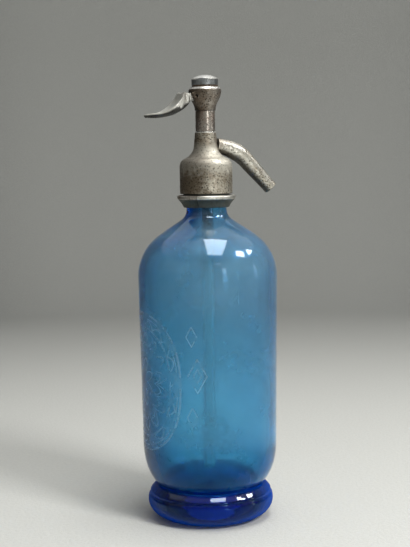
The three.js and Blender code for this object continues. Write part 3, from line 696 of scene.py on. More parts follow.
def bottle_glass():
    """Hazed blue glass. The point attribute inside is 1 on the face that the water has touched."""
    s = Shade("bottle_glass")
    inside = s.attribute("inside")
    ground = s.attribute("ground")
    outer = s.sub(1.0, inside)
    cloud = s.span(s.noise(0.028, 5.0, 0.6, distortion=0.4), 0.40, 0.70)
    grain = s.span(s.noise(0.35, 4.0, 0.65), 0.3, 0.7, 0.72, 1.0)
    runs = s.span(s.noise(1.0, 3.0, 0.6, at=s.stretched(0.16, 0.16, 0.010), distortion=0.6), 0.56, 0.70)
    runs = s.mul(runs, s.span(s.noise(0.02, 2.0), 0.42, 0.62, 0.2, 1.0))
    lime = s.mul(s.math("MAXIMUM", s.mul(cloud, grain), s.mul(runs, 0.8)), inside)
    specks = s.span(s.cells(0.12), 0.06, 0.035)
    specks = s.mul(specks, s.span(s.noise(0.03, 2.0), 0.52, 0.58), inside)
    etched = s.mul(ornament(s), outer, s.rise(38, 42))
    scratches = s.span(s.noise(1.0, 3.0, 0.7, at=s.stretched(0.12, 0.12, 1.6), distortion=0.3), 0.60, 0.72)
    veil = s.add(s.span(s.noise(0.035, 4.0, 0.55), 0.30, 0.80, 0.25, 0.75), s.mul(scratches, 0.45))
    veil = s.mul(veil, outer, s.rise(140, 205), s.rise(236, 212))
    edge = s.node("ShaderNodeLayerWeight").outputs["Facing"]
    deep = s.mul(outer, s.rise(29, 25), s.span(edge, 0.2, 0.8, 0.0, 0.85))
    # Painted shade: a darker teal tint over the lower body, strongest just above the foot
    base = s.mul(outer, s.rise(66, 36), s.rise(26, 34, 0.2, 1.0))
    leftward = s.add(s.mul(s.x, GLASS_LEFT[0] / BODY_RADIUS), s.mul(s.y, GLASS_LEFT[1] / BODY_RADIUS))
    # Painted shade: a darker blue on the neck's left side, below the collar
    neck_shade = s.mul(outer, s.span(leftward, 0.04, 0.24), s.rise(198, 222))
    # Painted shade darkening the glass towards the lever's side, fading out from 80 to 150 mm up
    left = s.mul(outer, s.span(leftward, 0.35, 1.0), s.rise(150, 80))
    film = s.mul(outer, s.rise(40, 70), s.rise(200, 170))
    opaque = s.add(s.mul(inside, 0.12), s.mul(lime, 0.24), s.mul(film, 0.035), s.mul(etched, 0.11))
    opaque = s.add(opaque, s.mul(veil, 0.17), s.mul(ground, 0.8), deep)
    opaque = s.math("ADD", opaque, s.mul(specks, 0.6), clamp=True)
    colour = s.blend(inside, CLEAN_OUTSIDE, CLEAN_INSIDE)
    for share, tint in (
        (base, LOW_BODY_SHADE), (left, LEFT_GLASS_SHADE), (neck_shade, NECK_LEFT_SHADE), (lime, LIME_PALE),
        (specks, SPECK_DARK), (veil, VEIL_BLUE), (s.mul(etched, 0.8), ETCHED_PALE), (ground, GROUND_PALE),
        (s.span(deep, 0.0, 0.04), FOOT_BLUE),
    ):
        colour = s.blend(share, colour, tint)
    lit = s.mul(s.attribute("lit"), s.span(edge, 0.45, 0.8, 1.0, 0.15))
    rough = s.add(s.span(inside, 0, 1, 0.04, 0.16), s.mul(lime, 0.10), s.mul(etched, 0.30))
    rough = s.add(rough, s.mul(veil, 0.18), s.mul(ground, 0.4))
    s.set(
        Base_Color=colour, Transmission_Weight=s.sub(1.0, opaque), Roughness=rough,
        IOR=1.5, Specular_IOR_Level=0.0, Specular_Tint=(0.25, 0.6, 1.0, 1.0),
        Coat_Weight=lit, Coat_Roughness=0.012, Coat_IOR=1.6,
    )
    volume = s.node("ShaderNodeVolumeAbsorption")
    volume.inputs["Color"].default_value = GLASS_BODY
    volume.inputs["Density"].default_value = GLASS_BODY_DENSITY
    s.put(s.output.inputs["Volume"], volume.outputs[0])
    return s.material


def tube_glass():
    """Clear glass with a little lime, stained dark towards its holder."""
    s = Shade("tube_glass")
    lime = s.span(s.noise(0.12, 4.0, 0.6), 0.45, 0.7)
    stain = s.rise(198, 220)
    clear = s.sub(s.span(lime, 0, 1, 0.95, 0.8), s.mul(stain, 0.75))
    colour = s.blend(lime, (0.93, 0.98, 0.98), (0.80, 0.86, 0.84))
    s.set(
        Base_Color=s.blend(stain, colour, (0.04, 0.05, 0.05)), Transmission_Weight=clear,
        Roughness=s.span(lime, 0, 1, 0.03, 0.2), IOR=1.5,
    )
    return s.material


def dress(obj, material):
    obj.data.materials.clear()
    obj.data.materials.append(material)


def piece(obj, material, body, slot, *nodes):
    """Gives a new piece its material and body, and hides the CAD nodes that it stands for."""
    dress(obj, material)
    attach(obj, body)
    if nodes:
        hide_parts(*nodes)
    return obj


# Bottle
def bottle_outline():
    """The outline in two parts, the outside and the inside."""
    punt, rest = (PUNT_FLAT, PUNT_DEPTH), (REST_INNER, REST_EDGE)
    outside = straight((0, PUNT_DEPTH), punt, 2)
    outside += bezier([punt, (REST_INNER - REST_PULL, PUNT_DEPTH), rest], 14)
    outside += bezier([rest, (REST_INNER + REST_ROUND[0], 0), (REST_INNER + REST_ROUND[1], 0)], 4)
    reach = CREASE_RADIUS + FOOT_BULGE - REST_OUTER
    outside += arc(REST_OUTER, FOOT_EQUATOR, reach, FOOT_EQUATOR, -90, 0, 24)
    outside += arc(CREASE_RADIUS, FOOT_EQUATOR, FOOT_BULGE, FOOT_HEIGHT - FOOT_EQUATOR, 0, 90, 20)[:-1]
    outside += [(CREASE_RADIUS + CREASE_STEP[0], FOOT_HEIGHT + CREASE_STEP[1])]
    side_foot = (SIDE_LOW_RADIUS, SIDE_START)
    pull = (
        CREASE_RADIUS + (SIDE_LOW_RADIUS - CREASE_RADIUS) * SIDE_FLARE_SHARES[0],
        FOOT_HEIGHT + (SIDE_START - FOOT_HEIGHT) * SIDE_FLARE_SHARES[1],
    )
    outside += bezier([(CREASE_RADIUS, FOOT_HEIGHT), pull, side_foot], 28)[1:]
    outside += straight(side_foot, (BODY_RADIUS, SHOULDER_START), 40)
    shoulder_x, blend_x = BODY_RADIUS - SHOULDER_ROUND, NECK_RADIUS + NECK_BLEND
    lip_x, lip_z = LIP_RADIUS - LIP_ROUND, MOUTH_HEIGHT - LIP_ROUND
    outside += arc(shoulder_x, SHOULDER_START, SHOULDER_ROUND, SHOULDER_ROUND, 0, SHOULDER_TURN, 40)
    outside += arc(blend_x, NECK_START, NECK_BLEND, NECK_BLEND, 180 + SHOULDER_TURN, 180, 20)
    outside += straight((NECK_RADIUS, NECK_START), (NECK_RADIUS, LIP_START), 8)
    outside += arc(lip_x, LIP_START + LIP_ROUND_RISE, LIP_ROUND, LIP_ROUND, -60, 0, 5)
    outside += arc(lip_x, lip_z, LIP_ROUND, LIP_ROUND, 0, 90, 6)
    inside = arc(NECK_BORE + LIP_ROUND, lip_z, LIP_ROUND, LIP_ROUND, 90, 180, 6)
    inside += straight((NECK_BORE, lip_z), (NECK_BORE, NECK_START), 10)
    inner_blend, inner_round = NECK_BLEND + GLASS_WALL, SHOULDER_ROUND - GLASS_WALL
    inside += arc(blend_x, NECK_START, inner_blend, inner_blend, 180, 180 + SHOULDER_TURN, 20)
    inside += arc(shoulder_x, SHOULDER_START, inner_round, inner_round, SHOULDER_TURN, 0, 40)
    low = SIDE_LOW_RADIUS - GLASS_WALL
    inside += straight((BODY_RADIUS - GLASS_WALL, SHOULDER_START), (low, SIDE_START), 40)
    floor_edge = (low - FLOOR_CORNER_WIDTH, FLOOR_HEIGHT)
    inside += bezier([(low, SIDE_START), (low - FLOOR_CORNER_LEAN, FLOOR_HEIGHT), floor_edge], 28)
    crown = (0, FLOOR_HEIGHT + PUSH_UP)
    inside += bezier([floor_edge, (floor_edge[0] - PUSH_UP_WIDTH, FLOOR_HEIGHT), crown], 14)
    return tidy(outside), tidy(inside)


def wave(angle, height, turns, rise, seed):
    """Slow unevenness round and up the bottle, from -1 to 1."""
    return noise.noise(Vector((math.cos(angle) * turns, math.sin(angle) * turns, height * rise + seed)))


def glass_bottle():
    outside, inside = bottle_outline()
    split = len(outside)

    def shift(r, a, z, i):
        if i >= split:
            room = min(1.0, max(0.0, (MOUTH_HEIGHT - WALL_CALM_TOP - z) / WALL_FADE))
            room *= min(1.0, r / WALL_FADE)
            thick = NECK_THICK * within(NECK_THICK_RISE, NECK_THICK_FALL, z)
            thick *= max(0.0, math.cos(a - NECK_THICK_SIDE))
            wavy = WALL_WAVE * wave(a, z, 1.6, 0.012, 3.0) + WALL_RIPPLE * wave(a, z, 4.5, 0.03, 9.0)
            return r + room * wavy - thick, z
        ripple = FOOT_RIPPLE * within(RIPPLE_RISE, RIPPLE_FALL, z)
        ripple *= 0.5 + 0.5 * wave(a, z, 7.0, 0.15, 31.0)
        if r > CREASE_RADIUS + RIDGE_CLEAR:
            for height, reach, depth in FOOT_RIDGES:
                ripple += depth * math.exp(-(((z - height) / reach) ** 2))
        dip = SKIN_WAVE * within(SKIN_RISE, SKIN_FALL, z) * (0.5 + 0.5 * wave(a, z, 2.2, 0.02, 17.0))
        return r - dip - ripple, z

    verts, faces = turned_mesh(outside + inside, BOTTLE_SEGMENTS, shift=shift)
    obj = mesh_object("bottle", verts, faces, 60)
    mouth_radius, mouth_height = inside[0]
    first_inside = next(
        i for i, (x, y, z) in enumerate(verts)
        if abs(z - mouth_height) < TINY and abs(math.hypot(x, y) - mouth_radius) < TINY
    )
    inner = [1.0 if i >= first_inside else 0.0 for i in range(len(verts))]
    lit, ground = [], []
    for value, vertex, (x, y, z) in zip(inner, obj.data.vertices, verts):
        ring = smooth(*RING_LIT, vertex.normal.z)
        body = BODY_LIT_SHARE * smooth(*BODY_LIT, vertex.normal.z)
        share = smooth(FOOT_HEIGHT, FOOT_HEIGHT + LIT_BLEND, z)
        lit.append((1 - value) * (ring + share * (body - ring)))
        rest = smooth(REST_OUTER + GROUND_BLEND, REST_OUTER, math.hypot(x, y))
        ground.append((1 - value) * rest * smooth(PUNT_DEPTH + GROUND_BLEND, PUNT_DEPTH + 1, z))
    mark(obj, "inside", inner)
    mark(obj, "lit", lit)
    mark(obj, "ground", ground)
    return obj


piece(glass_bottle(), bottle_glass(), "root", "bottle_glass", "glass_bottle")

tube_low, tube_high = (corner.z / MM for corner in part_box("dip_tube"))
tube_start = (TUBE_BORE, tube_low + 3, 0)
tube_outline = eased([
    tube_start, (TUBE_BORE, tube_low, TUBE_FOOT_EASE), (TUBE_RADIUS, tube_low, TUBE_FOOT_EASE),
    (TUBE_RADIUS, tube_high, TUBE_TOP_EASE), (TUBE_BORE, tube_high, TUBE_TOP_EASE), tube_start,
])
tube = turned("dip_tube_glass", tube_outline[:-1], 64, closed=True)
piece(tube, tube_glass(), "root", "tube_glass", "dip_tube")


# Collar
def collar_outline():
    pull = COLLAR_FOOT_RADIUS + FLARE_SHARES[0] * (FLANGE_RADIUS - COLLAR_FOOT_RADIUS)
    start, end = (COLLAR_FOOT_RADIUS, 0.5), (FLANGE_RADIUS - 0.1, FLARE_HEIGHT)
    rim = eased([
        end + (0,), (FLANGE_RADIUS, FLARE_HEIGHT + 0.2, 0.4), (FLANGE_RADIUS, FLANGE_TOP - 0.7, 0.8),
        (FLANGE_RADIUS - 1.2, FLANGE_TOP, 0.8), (SHANK_RADIUS, FLANGE_TOP, 0.3),
        (SHANK_RADIUS, COLLAR_HEIGHT, 0.4), (COLLAR_BORE, COLLAR_HEIGHT, 0),
    ])
    flare = bezier([start, (pull, FLARE_HEIGHT * FLARE_SHARES[1]), end], 16)
    return [(COLLAR_BORE, 0), (COLLAR_FOOT_RADIUS - 0.4, 0)] + flare + rim[1:]


def collar_half(name, turn, seed):
    """Half of the collar, with painted shade marked under its flare and on its shank over the flange."""
    trim = math.asin(SEAM_GAP / 2 / SHANK_RADIUS)

    def shift(r, a, z, _):
        worn = 0.22 * noise.noise(Vector((math.cos(a) * 5, math.sin(a) * 5, seed)))
        edge = smooth(SHANK_RADIUS + 1, FLANGE_RADIUS - 0.5, r)
        return r - edge * abs(worn), z + edge * worn * 0.6 - edge * 0.06

    obj = turned(
        name, split_long(collar_outline(), 1.2), 96, foot=COLLAR_FOOT, start=SEAM_ANGLE + turn + trim,
        sweep=math.pi - 2 * trim, closed=True, shift=shift,
    )
    values = []
    for vertex in obj.data.vertices:
        radius = math.hypot(vertex.co.x, vertex.co.y) / MM
        height = vertex.co.z / MM - COLLAR_FOOT
        flare = smooth(FLARE_HEIGHT + 0.3, FLARE_HEIGHT - 0.9, height)
        shank = smooth(SHANK_RADIUS + 1.2, SHANK_RADIUS + 0.4, radius)
        values.append(max(flare, shank * smooth(FLANGE_TOP - 0.5, FLANGE_TOP, height)))
    mark(obj, "painted_shade", values)
    return obj


# Painted shade under the flare and on the shank up inside the bell
COLLAR_SHADE = (0.050, 0.062, 0.055)
bright_metal = worn_metal(
    "collar_bright", (0.74, 0.73, 0.68), (0.38, 0.37, 0.32), tarnish=0.3, gloss=0.36, dull=0.5, grain=0.6,
    pits=0.15, under=COLLAR_SHADE,
)
dull_metal = worn_metal(
    "collar_dull", (0.56, 0.53, 0.48), (0.20, 0.17, 0.14), tarnish=0.5, gloss=0.36, dull=0.5, grain=0.7,
    pits=0.4, under=COLLAR_SHADE,
)
for side, turn, seed, metal in (("right", 0, 2.0, bright_metal), ("left", math.pi, 7.0, dull_metal)):
    half = collar_half("collar_" + side, turn, seed)
    piece(half, metal, "root", "collar_metal", "collar_half_" + side)


# Head body
def head_body():
    neck_start = SHOULDER_FOOT + SHOULDER_HEIGHT
    socket_floor = BODY_HEIGHT - SPIGOT_LENGTH
    width = BELL_RADIUS - BODY_NECK_RADIUS
    a, b, c = [
        (BODY_NECK_RADIUS + width * across, SHOULDER_FOOT + SHOULDER_HEIGHT * up)
        for across, up in SHOULDER_SHARES
    ]
    outline = eased([
        (BELL_BORE, 3, 0), (BELL_BORE, 0, 0.3), (BELL_RADIUS - 0.25, 0, 0.3), (BELL_RADIUS - 0.1, 1.2, 0.3),
        (BELL_RADIUS, 1.6, 0.3), (BELL_RADIUS, SHOULDER_FOOT, 0),
    ])
    outline += bezier([(BELL_RADIUS, SHOULDER_FOOT), a, b], 20)[1:]
    outline += bezier([b, c, (BODY_NECK_RADIUS, neck_start)], 20)[1:]
    outline += eased([
        (BODY_NECK_RADIUS, neck_start, 0), (BODY_NECK_TOP + 0.05, BODY_HEIGHT - 0.2, 0.3),
        (BODY_NECK_TOP - 0.4, BODY_HEIGHT, 0.3), (SOCKET_RADIUS, BODY_HEIGHT, 0.1),
        (SOCKET_RADIUS, socket_floor, 0), (CHAMBER_RADIUS, socket_floor, 0),
        (CHAMBER_RADIUS, CHAMBER_BASE, 0), (RISER_BORE, CHAMBER_BASE, 0), (RISER_BORE, BELL_DEPTH, 0),
        (BELL_BORE, BELL_DEPTH, 0), (BELL_BORE, 3, 0),
    ])[1:-1]

    def shift(r, a, z, _):
        skin = 1.0 if r > SOCKET_RADIUS + 0.3 else 0.0
        dent = noise.noise(Vector((math.cos(a) * 1.8, math.sin(a) * 1.8, z * 0.09)))
        return r - skin * 0.10 * (0.5 + 0.5 * dent), z

    return turned("head_body_cast", split_long(outline, 1.0), 144, foot=BELL_RIM, closed=True, shift=shift)


shoulder = BELL_RIM + SHOULDER_FOOT
# Painted highlights on the shoulder and the top edge, painted shade on the lever's side and at the rim
head_metal = worn_metal(
    "head_tin", (0.73, 0.69, 0.59), (0.21, 0.17, 0.12), tarnish=0.5, gloss=0.34, dull=0.48, grain=1.5,
    pits=0.9, side_shading=1.0, highlight_rings=((BELL_RIM + BODY_HEIGHT - 0.4, 0.5),),
    worn=(shoulder - 4, shoulder + SHOULDER_HEIGHT), seams=((BELL_RIM - 0.1, 0.6),),
)
piece(head_body(), head_metal, "root", "head_metal", "head_body")


# Spout
def spout_line(count):
    """Points and directions of the spout's centre line, evenly spaced, as (x, height) pairs."""
    slope = math.tan(SPOUT_ROOT_ANGLE)
    rise = BELL_DEPTH + SPOUT_ROOT_RISE
    bend_rise = rise - (SPOUT_BEND_START - CHAMBER_RADIUS) * slope
    start = Vector((CHAMBER_RADIUS, rise))
    bend = Vector((SPOUT_BEND_START, bend_rise))
    centre = bend - Vector((math.sin(SPOUT_ROOT_ANGLE), math.cos(SPOUT_ROOT_ANGLE))) * SPOUT_BEND_RADIUS
    first = (bend - start).length
    second = SPOUT_BEND_RADIUS * (SPOUT_END_ANGLE - SPOUT_ROOT_ANGLE)
    whole = first + second + SPOUT_STRAIGHT
    out = []
    for i in range(count + 1):
        s = whole * i / count
        bent = min(1.0, max(0.0, (s - first) / second))
        angle = SPOUT_ROOT_ANGLE + bent * (SPOUT_END_ANGLE - SPOUT_ROOT_ANGLE)
        heading = Vector((math.cos(angle), -math.sin(angle)))
        if s <= first:
            point = start + heading * s
        else:
            point = centre + Vector((math.sin(angle), math.cos(angle))) * SPOUT_BEND_RADIUS
            if s > first + second:
                point += heading * (s - first - second)
        out.append((i / count, point, heading))
    return out


def spout():
    around = 64
    line = [entry for entry in spout_line(116) if entry[0] >= SPOUT_HIDDEN]
    rings = []
    for share, point, heading in line[:-1]:
        dent = 0.12 * noise.noise(Vector((share * 9, 4.0, 1.0)))
        rings.append((point, heading, SPOUT_RADIUS * along(SPOUT_SHARES, share) - abs(dent)))
    end, heading = line[-1][1:]
    lip = SPOUT_RADIUS * along(SPOUT_SHARES, 1)
    rings += [(end - heading * back, heading, lip - step) for back, step in SPOUT_LIP]
    rings += [(end - heading * back, heading, SPOUT_BORE + step) for back, step in SPOUT_MOUTH]
    rings += [(point, heading, SPOUT_BORE) for _, point, heading in reversed(line[:-1])]
    verts, faces = [], []
    for point, heading, radius in rings:
        side = Vector((-heading.y, heading.x))
        for k in range(around):
            a = 2 * math.pi * k / around
            rough = 1 + 0.012 * noise.noise(Vector((math.cos(a) * 2, math.sin(a) * 2, point.x * 0.12)))
            r = radius * (rough if radius > SPOUT_BORE + 0.5 else 1)
            flat = point + side * (r * math.cos(a))
            verts.append((flat.x, r * math.sin(a), flat.y + BELL_RIM))
    count = len(rings)
    for i in range(count):
        for k in range(around):
            n, j = (k + 1) % around, (i + 1) % count
            faces.append((i * around + k, i * around + n, j * around + n, j * around + k))
    return mesh_object("spout_tube", verts, faces, 40)


# Painted shade on the spout's downward faces, marked below
spout_metal = worn_metal(
    "spout_tin", (0.76, 0.74, 0.67), (0.33, 0.295, 0.23), tarnish=0.36, gloss=0.32, dull=0.46, grain=1.1,
    pits=0.6, blotch=0.08, under=(0.060, 0.052, 0.042),
)
spout_piece = spout()
mark_underside(spout_piece, 0.1, 0.6)
piece(spout_piece, spout_metal, "root", "head_metal", "spout")


# Neck tube, housing and cap
spigot_top = NECK_TUBE_HEIGHT + TOP_SPIGOT
neck_outline = eased([
    (ROD_ROOM, 6, 0), (ROD_ROOM, -SPIGOT_LENGTH, 0), (SPIGOT_RADIUS, -SPIGOT_LENGTH, 0.3),
    (SPIGOT_RADIUS, 0, 0), (NECK_TUBE_RADIUS - 0.1, 0, 0.15), (NECK_TUBE_RADIUS, 0.3, 0.1),
    (NECK_TUBE_RADIUS, NECK_TUBE_HEIGHT, 0.3),
    (SPIGOT_RADIUS, NECK_TUBE_HEIGHT, 0), (SPIGOT_RADIUS, spigot_top, 0.3), (PACKING_BORE, spigot_top, 0),
    (PACKING_BORE, PACKING_FOOT, 0), (ROD_ROOM, PACKING_FOOT, 0), (ROD_ROOM, 0, 0),
])
neck = turned("neck_tube_drawn", split_long(neck_outline[1:-1], 1.5), 96, foot=NECK_TUBE_FOOT, closed=True)
# Painted shade on the lever's side and at the step at the foot
neck_metal = worn_metal(
    "neck_tin", (0.60, 0.565, 0.52), (0.27, 0.22, 0.185), tarnish=0.45, gloss=0.22, dull=0.32, grain=0.25,
    pits=0.35, rust=(0.22, 0.12, 0.09), rust_share=0.4, side_shading=1.2, seams=((NECK_TUBE_FOOT - 0.1, 0.35),),
)
piece(neck, neck_metal, "root", "neck_metal", "neck_tube")


def lever_housing():
    lower, upper = [
        BULB_FLARE_START + (BULB_FLARE_END - BULB_FLARE_START) * share for share in BULB_FLARE_SHARES
    ]
    outline = eased([
        (SOCKET_RADIUS, 1, 0), (SOCKET_RADIUS, 0, 0), (BULB_FOOT_RADIUS - 0.15, 0, 0.2),
        (BULB_FOOT_RADIUS, 0.5, 0.2), (BULB_FOOT_RADIUS, BULB_FLARE_START, 0),
    ])[1:]
    outline += bezier([
        (BULB_FOOT_RADIUS, BULB_FLARE_START), (BULB_FOOT_RADIUS, lower), (BULB_RADIUS, upper),
        (BULB_RADIUS, BULB_FLARE_END),
    ], 28)[1:]
    outline += eased([
        (BULB_RADIUS, BULB_FLARE_END, 0), (BULB_RADIUS, BULB_BAND_END - 0.1, 0.35),
        (BULB_RADIUS - 0.5, BULB_BAND_END + 0.5, 0.3), (BULB_TOP_RADIUS, BULB_TOP, 0.5),
        (CAP_SPIGOT_RADIUS, BULB_TOP, 0), (CAP_SPIGOT_RADIUS, HOUSING_HEIGHT, 0.3),
        (GUIDE_BORE, HOUSING_HEIGHT, 0), (GUIDE_BORE, TOP_SPIGOT, 0), (SOCKET_RADIUS, TOP_SPIGOT, 0),
    ])[1:]
    obj = turned("lever_housing_cast", split_long(outline, 0.9), 128, foot=HOUSING_FOOT, closed=True)
    slot = box_tool(
        (PIVOT.x - SLOT_REACH, -SLOT_HALF_WIDTH, PIVOT.z - SLOT_HALF_HEIGHT),
        (0, SLOT_HALF_WIDTH, PIVOT.z + SLOT_HALF_HEIGHT),
    )
    pin_hole = turned_across("tool", [
        (0, -BULB_RADIUS), (PIN_HOLE_RADIUS, -BULB_RADIUS), (PIN_HOLE_RADIUS, BULB_RADIUS), (0, BULB_RADIUS),
    ])
    cut(obj, slot, pin_hole)
    return obj


# Painted shade on the lever's side and at the bulb's foot, a painted highlight on the chamfer
housing_metal = worn_metal(
    "housing_tin", (0.38, 0.35, 0.31), (0.135, 0.11, 0.085), tarnish=0.52, gloss=0.28, dull=0.42, grain=0.5,
    pits=0.7, rust_share=0.4, side_shading=1.1, seams=((HOUSING_FOOT, 0.5),),
    highlight_rings=((HOUSING_FOOT + 16.2, 0.9),), shine=0.42,
)
piece(lever_housing(), housing_metal, "root", "head_metal", "lever_housing")


def lever_pin():
    """The pin, riveted over at both ends so that it lies flush in the bulb's sides."""
    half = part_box("lever_pin")[1].y / MM
    outline = [(0, -half - 0.35), (0.8, -half - 0.28), (1.25, -half), (PIN_RADIUS, 0.3 - half)]
    outline += [(r, -z) for r, z in reversed(outline)]
    return turned_across("pin_riveted", outline)


piece(lever_pin(), housing_metal, "root", "pin_metal", "lever_pin")

cap_outline = eased([
    (0, CAP_POCKET_TOP, 0), (CAP_POCKET_RADIUS, CAP_POCKET_TOP, 0), (CAP_POCKET_RADIUS, CAP_BORE_TOP, 0),
    (CAP_BORE, CAP_BORE_TOP, 0), (CAP_BORE, 0, 0), (CAP_RADIUS, 0, 0.25), (CAP_RADIUS, CAP_SIDE, 0.15),
    (CAP_BEAD_RADIUS, CAP_SIDE + 0.2, 0.1), (CAP_BEAD_RADIUS, CAP_BEAD_TOP, 0),
])
cap_outline += bezier([(CAP_BEAD_RADIUS, CAP_BEAD_TOP), (CAP_RADIUS * 0.5, CAP_TOP), (0, CAP_TOP)], 24)[1:]
cap = turned("screw_cap_turned", split_long(cap_outline, 1.0), 128, foot=CAP_FOOT, sharp=30)


def cap_metal():
    """Smooth blue-grey steel, lighter over the dome down to a wavy edge: partly worn bright, partly a
    painted highlight.
    """
    s = Shade("cap_steel")
    edge = s.add(s.z, s.span(s.noise(0.22, 2.0), 0.3, 0.7, -0.55, 0.55))
    worn = s.span(edge, CAP_FOOT + CAP_SIDE, CAP_FOOT + CAP_SIDE + 0.4)
    cloud = s.span(s.noise(0.25, 4.0, 0.6), 0.35, 0.7)
    side = s.blend(cloud, (0.30, 0.315, 0.33), (0.21, 0.215, 0.215))
    # The dome's near-white tone is partly a painted highlight
    top = s.blend(s.span(s.noise(0.5, 4.0, 0.6), 0.45, 0.8), (0.93, 0.93, 0.90), (0.70, 0.69, 0.65))
    s.set(
        Base_Color=s.blend(worn, side, top), Metallic=1.0, Roughness=s.span(cloud, 0, 1, 0.36, 0.44),
        Normal=s.bump(s.noise(1.2, 3.0, 0.6), 0.05),
    )
    return s.material


piece(cap, cap_metal(), "root", "cap_metal", "screw_cap")


# Lever. Its tables are (x, value), from the tip to the root, measured from the pin.
LEVER_TIP = -37.0
LEVER_ROOT = -4.07
LEVER_TOP = [
    (-37.0, -12.9), (-33.9, -12.3), (-29.3, -11.7), (-25.9, -11.15), (-22.6, -9.95), (-19.3, -8.25),
    (-16.3, -6.3), (-13.6, -3.6), (-11.5, -1.2), (-10.3, 1.3), (-9.3, 3.08), (-8.3, 3.2), (-6.7, 2.5),
    (-5.1, 1.1), (-4.07, 0.2),
]
LEVER_UNDER = [
    (-37.0, -15.05), (-31.0, -15.4), (-28.0, -15.3), (-24.0, -14.9), (-20.0, -14.15), (-16.2, -13.2),
    (-12.4, -11.55), (-8.6, -9.5), (-5.5, -7.0), (-4.07, -5.4),
]
LEVER_WIDTH = [
    (-37.0, 1.1), (-35.9, 3.16), (-33.0, 4.97), (-30.0, 5.99), (-26.5, 7.12), (-22.6, 8.93), (-18.9, 10.6),
    (-15.0, 11.3), (-12.0, 10.2), (-9.25, 8.5), (-7.2, 7.0), (-4.0, 5.88),
]
LEVER_EDGE = [(-37.0, 1.0), (-30.0, 1.5), (-20.0, 3.2), (-14.0, 5.2), (-11.0, 8.4), (-8.0, 9.4), (-4.0, 5.0)]
# How far the painted lit band reaches down from the top edge
LEVER_LIT_BAND = [
    (-37.0, 0.45), (-29.0, 0.85), (-22.6, 1.3), (-16.0, 1.75), (-14.2, 2.9), (-12.6, 5.4), (-11.6, 6.8),
    (-8.8, 9.0), (-6.9, 6.8), (-4.0, 2.6),
]
LEVER_SCOOP = [(-37.0, 0.05), (-30.0, 0.7), (-18.0, 1.3), (-9.0, 0.9), (-4.0, 0.2)]
LEVER_BEVEL = 0.35
LEVER_RIB = 0.16
LEVER_RIB_PITCH = 1.7
PLATE_REACH = 6.6
PLATE_HALF_HEIGHT = 2.4
PLATE_HALF_WIDTH = 2.5
BOSS_RADIUS = 3.2
FINGER_START = 3.4
FINGER_CENTRE = 6.2
FINGER_RADIUS = 1.3


def lever_leaf():
    """Verts and faces of the leaf: a scooped top, straight sides and a ribbed, rounded underside."""
    steps, across = 150, 14
    verts, rings = [], []
    for i in range(steps + 1):
        x = LEVER_TIP + (LEVER_ROOT - LEVER_TIP) * i / steps
        top, under = curve_through(LEVER_TOP, x), curve_through(LEVER_UNDER, x)
        half = curve_through(LEVER_WIDTH, x)
        side = min(curve_through(LEVER_EDGE, x), (top - under) * 0.78)
        scoop = min(curve_through(LEVER_SCOOP, x), (top - under) * 0.3)
        rib = LEVER_RIB * math.cos(2 * math.pi * x / LEVER_RIB_PITCH) * smooth(-8, -14, x)
        shrink = 1 - 0.16 * smooth(-5.2, LEVER_ROOT, x) - 0.25 * smooth(-36.4, LEVER_TIP, x)
        upper, lower = [], []
        for k in range(across + 1):
            u = -1 + 2 * k / across
            edge = LEVER_BEVEL * smooth(0.86, 1.0, abs(u))
            upper.append((u, top - scoop * (1 - u * u) - edge))
            low = under + (top - side - under) * abs(u) ** 2.4
            lower.append((-u, low - rib * (1 - 0.5 * u * u)))
        drops = [top - LEVER_BEVEL - (side - LEVER_BEVEL) * k / 4 for k in (1, 2, 3)]
        profile = upper + [(1.0, z) for z in drops] + lower + [(-1.0, z) for z in drops[::-1]]
        middle = (top + under) / 2
        rings.append(list(range(len(verts), len(verts) + len(profile))))
        verts += [(x, u * half * shrink, middle + (z - middle) * shrink) for u, z in profile]
    count = len(rings[0])
    faces = [
        (low[k], low[(k + 1) % count], high[(k + 1) % count], high[k])
        for low, high in zip(rings, rings[1:]) for k in range(count)
    ]
    return verts, faces + [rings[0], rings[-1][::-1]]


def lever_root():
    """Verts and faces of the plate in the slot: the boss on the pin, its neck and the finger."""
    outline = [(-PLATE_REACH, PLATE_HALF_HEIGHT), (-PLATE_REACH, -PLATE_HALF_HEIGHT)]
    outline += arc(0, 0, BOSS_RADIUS, BOSS_RADIUS, -130, -28, 18) + [(FINGER_START, -FINGER_RADIUS)]
    outline += arc(FINGER_CENTRE, 0, FINGER_RADIUS, FINGER_RADIUS, -90, 90, 10)
    outline += [(FINGER_START, FINGER_RADIUS)] + arc(0, 0, BOSS_RADIUS, BOSS_RADIUS, 28, 130, 18)
    count = len(outline)
    verts = [(x, y, z) for y in (-PLATE_HALF_WIDTH, PLATE_HALF_WIDTH) for x, z in outline]
    faces = [list(range(count))[::-1], [count + i for i in range(count)]]
    faces += [(i, (i + 1) % count, count + (i + 1) % count, count + i) for i in range(count)]
    return verts, faces


def lever():
    leaf_verts, leaf_faces = lever_leaf()
    root_verts, root_faces = lever_root()
    start = len(leaf_verts)
    verts = [Vector(v) + PIVOT for v in leaf_verts + root_verts]
    faces = leaf_faces + [[v + start for v in face] for face in root_faces]
    return mesh_object("lever_leaf", verts, faces, 38)


